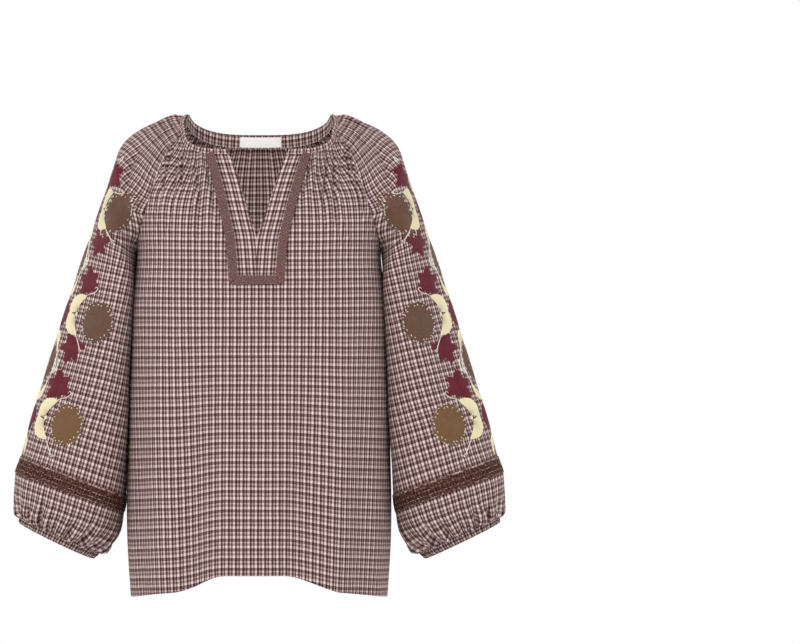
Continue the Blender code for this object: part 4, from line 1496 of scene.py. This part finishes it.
def trim_braid():
    """A dull brown braid: chevron stitches with small pale gaps."""
    braid = Finish("brown_braid", 0.9, 0.02)
    across, along_it = braid.axes()
    ribs = (along_it + across.math("ABSOLUTE")).wave(BRAID_RIB)
    gaps = across.wave(BRAID_GAP_ACROSS, "COSINE") * along_it.wave(BRAID_GAP_ALONG, "COSINE")
    light = gaps.math("MAXIMUM", 0.0).math("POWER", 3) * 0.35
    braid.colour(ribs * 0.16 + (light + 0.28) + braid.noise(420, 420) * 0.7, BRAID_COLOURS)
    braid.relief(ribs, 0.0002)
    return braid.material


def lace_braid():
    """Red-brown lace, paler on the cords and along its upper edge, with painted shade, nearly black, for the
    openings between its cords.
    """
    lace = Finish("brown_lace", 0.85, 0.02)
    around, up = lace.axes()
    cords = lace.ramp(up * (1 / (LACE_WIDTH * MM)), LACE_CORDS)
    bars = around.wave(LACE_REPEAT * MM, "COSINE").math("MAXIMUM", 0.0).math("POWER", 2) * 0.42
    # Low values between the cords and bars are painted shade for the lace's openings.
    value = cords.math("MAXIMUM", bars) + lace.noise(300, 420) * 1.7
    lace.colour(value, LACE_AND_OPENING_SHADE_COLOURS)
    lace.relief(value, 0.0003)
    return lace.material


def satin_label():
    """White satin, with nothing on it."""
    satin = Finish("blank_satin", 0.45, 0.02)
    _, up = satin.axes()
    satin.colour(satin.noise(60, 900) * 0.6 + 0.5, LABEL_COLOURS)
    satin.relief(up.wave(SATIN_THREAD), 0.00006)
    return satin.material


def thread_finish(name, colours):
    """Embroidery or sewing thread: fine lines of stitches with a soft shine, and painted highlight and shade
    across the lines, paler on each thread's crest and darker between, over the same real relief.
    """
    thread = Finish(name, 0.6, 0.03)
    along_it, _ = thread.axes()
    lines = along_it.wave(STITCH_THREAD)
    # The stitch lines' crests are painted paler and their grooves darker: painted highlight and shade over
    # the bump of the same lines.
    value = lines * 0.16 + 0.5 + thread.noise(900, 250) * 0.8
    thread.colour(value, ((0.1, colours[0]), (0.9, colours[1])))
    thread.relief(lines, 0.00025)
    return thread.material


def plain_floor():
    floor = Finish("floor", 0.9, 0.0, "ShaderNodeTexCoord", "Object")
    floor.colour(floor.noise(2, 2) + 0.5, FLOOR_COLOURS)
    return floor.material


def build_studio():
    """The camera, the lights and the floor."""
    scene = bpy.context.scene
    scene.view_settings.view_transform = "Standard"
    world = bpy.data.worlds.new("studio")
    world.use_nodes = True
    world.node_tree.nodes["Background"].inputs["Color"].default_value = (1, 1, 1, 1)
    world.node_tree.nodes["Background"].inputs["Strength"].default_value = WORLD_LIGHT
    scene.world = world
    for light in LIGHTS:
        lamp = bpy.data.objects.new(light.name, bpy.data.lights.new(light.name, "AREA"))
        lamp.data.energy = light.power
        lamp.data.size = light.size
        lamp.location = (light.x, light.y, light.z)
        aim = Vector((light.aim_x, light.aim_y, light.aim_z)) - lamp.location
        lamp.rotation_euler = aim.to_track_quat("-Z", "Y").to_euler()
        scene.collection.objects.link(lamp)
    camera = bpy.data.objects.new("camera", bpy.data.cameras.new("camera"))
    camera.data.lens = camera.data.sensor_width * CAMERA_DISTANCE / FRAME_WIDTH
    camera.location = (CAMERA_X, -CAMERA_DISTANCE, CAMERA_Z)
    camera.rotation_euler = (np.pi / 2, 0, 0)
    scene.collection.objects.link(camera)
    scene.camera = camera
    shape = bmesh.new()
    bmesh.ops.create_circle(shape, cap_ends=True, segments=128, radius=FLOOR_RADIUS)
    mesh = bpy.data.meshes.new("floor")
    shape.to_mesh(mesh)
    shape.free()
    mesh.materials.append(plain_floor())
    floor = bpy.data.objects.new("floor", mesh)
    floor.location = (0, 0, FLOOR_Z)
    scene.collection.objects.link(floor)


def build_body(check):
    """The front and the back. Gives the lines of their hems' stitches."""
    hems = []
    for front, name, node in ((True, "front_cloth", "front_panel"), (False, "back_cloth", "back_panel")):
        grids = []
        for side in (1, -1):
            step = 1 if (side > 0) == front else -1
            points, cloth = (kind[:, ::step] for kind in body_half(front, side))
            grids.append((points, cloth))
            hems.append((points[-HEM_STITCH_ROW], grid_normals(points)[-HEM_STITCH_ROW]))
        placed(grid_piece(name, grids, check, CLOTH), node)
    return hems


def build_sleeves(check, lace, threads):
    """Both sleeves with their lace bands, cuffs and embroidery. The right one mirrors the left."""
    points, normals, cloth = sleeve_grid()
    outside = points + normals * CLOTH_OUT
    found = sleeve_map(outside, grid_normals(points))
    parts = (
        ("sleeve_%s_cloth", "sleeve_%s", (outside, cloth), check, CLOTH, "checked_cotton", "sleeve_cloth"),
        ("lace_%s", "lace_band_%s", build_lace(), lace, BRAID, "lace_braid", "lace"),
        ("cuff_%s_cloth", "cuff_%s", build_cuff(), check, CLOTH, "checked_cotton", "cuff_cloth"),
    )
    for side, name in ((1, "left"), (-1, "right")):
        for piece_name, node, grid, finish, thickness, slot, sheet in parts:
            grid = grid if side > 0 else mirrored(*grid)
            piece = grid_piece(piece_name % name, [grid], finish, thickness)
            placed(piece, node % name)
        for piece in build_embroidery(found, side, threads):
            placed(piece)


def main():
    build_studio()
    check, braid = check_cotton(), trim_braid()
    threads = {name: thread_finish(name + "_thread", colours) for name, colours in THREAD_COLOURS.items()}
    hems = build_body(check)
    build_sleeves(check, lace_braid(), threads)
    placed(build_placket(check), "placket")
    placed(build_trim(braid), "placket_trim")
    placed(build_binding(check), "neck_binding")
    placed(build_facing(check), "neck_facing")
    placed(build_label(satin_label()), "neck_label")
    sewing = thread_finish("sewing_thread", SEWING_COLOURS)
    placed(build_stitches("hem_stitches", hems, sewing))
    placed(build_stitches("trim_stitches", [trim_stitches()], threads["brown"]))


main()
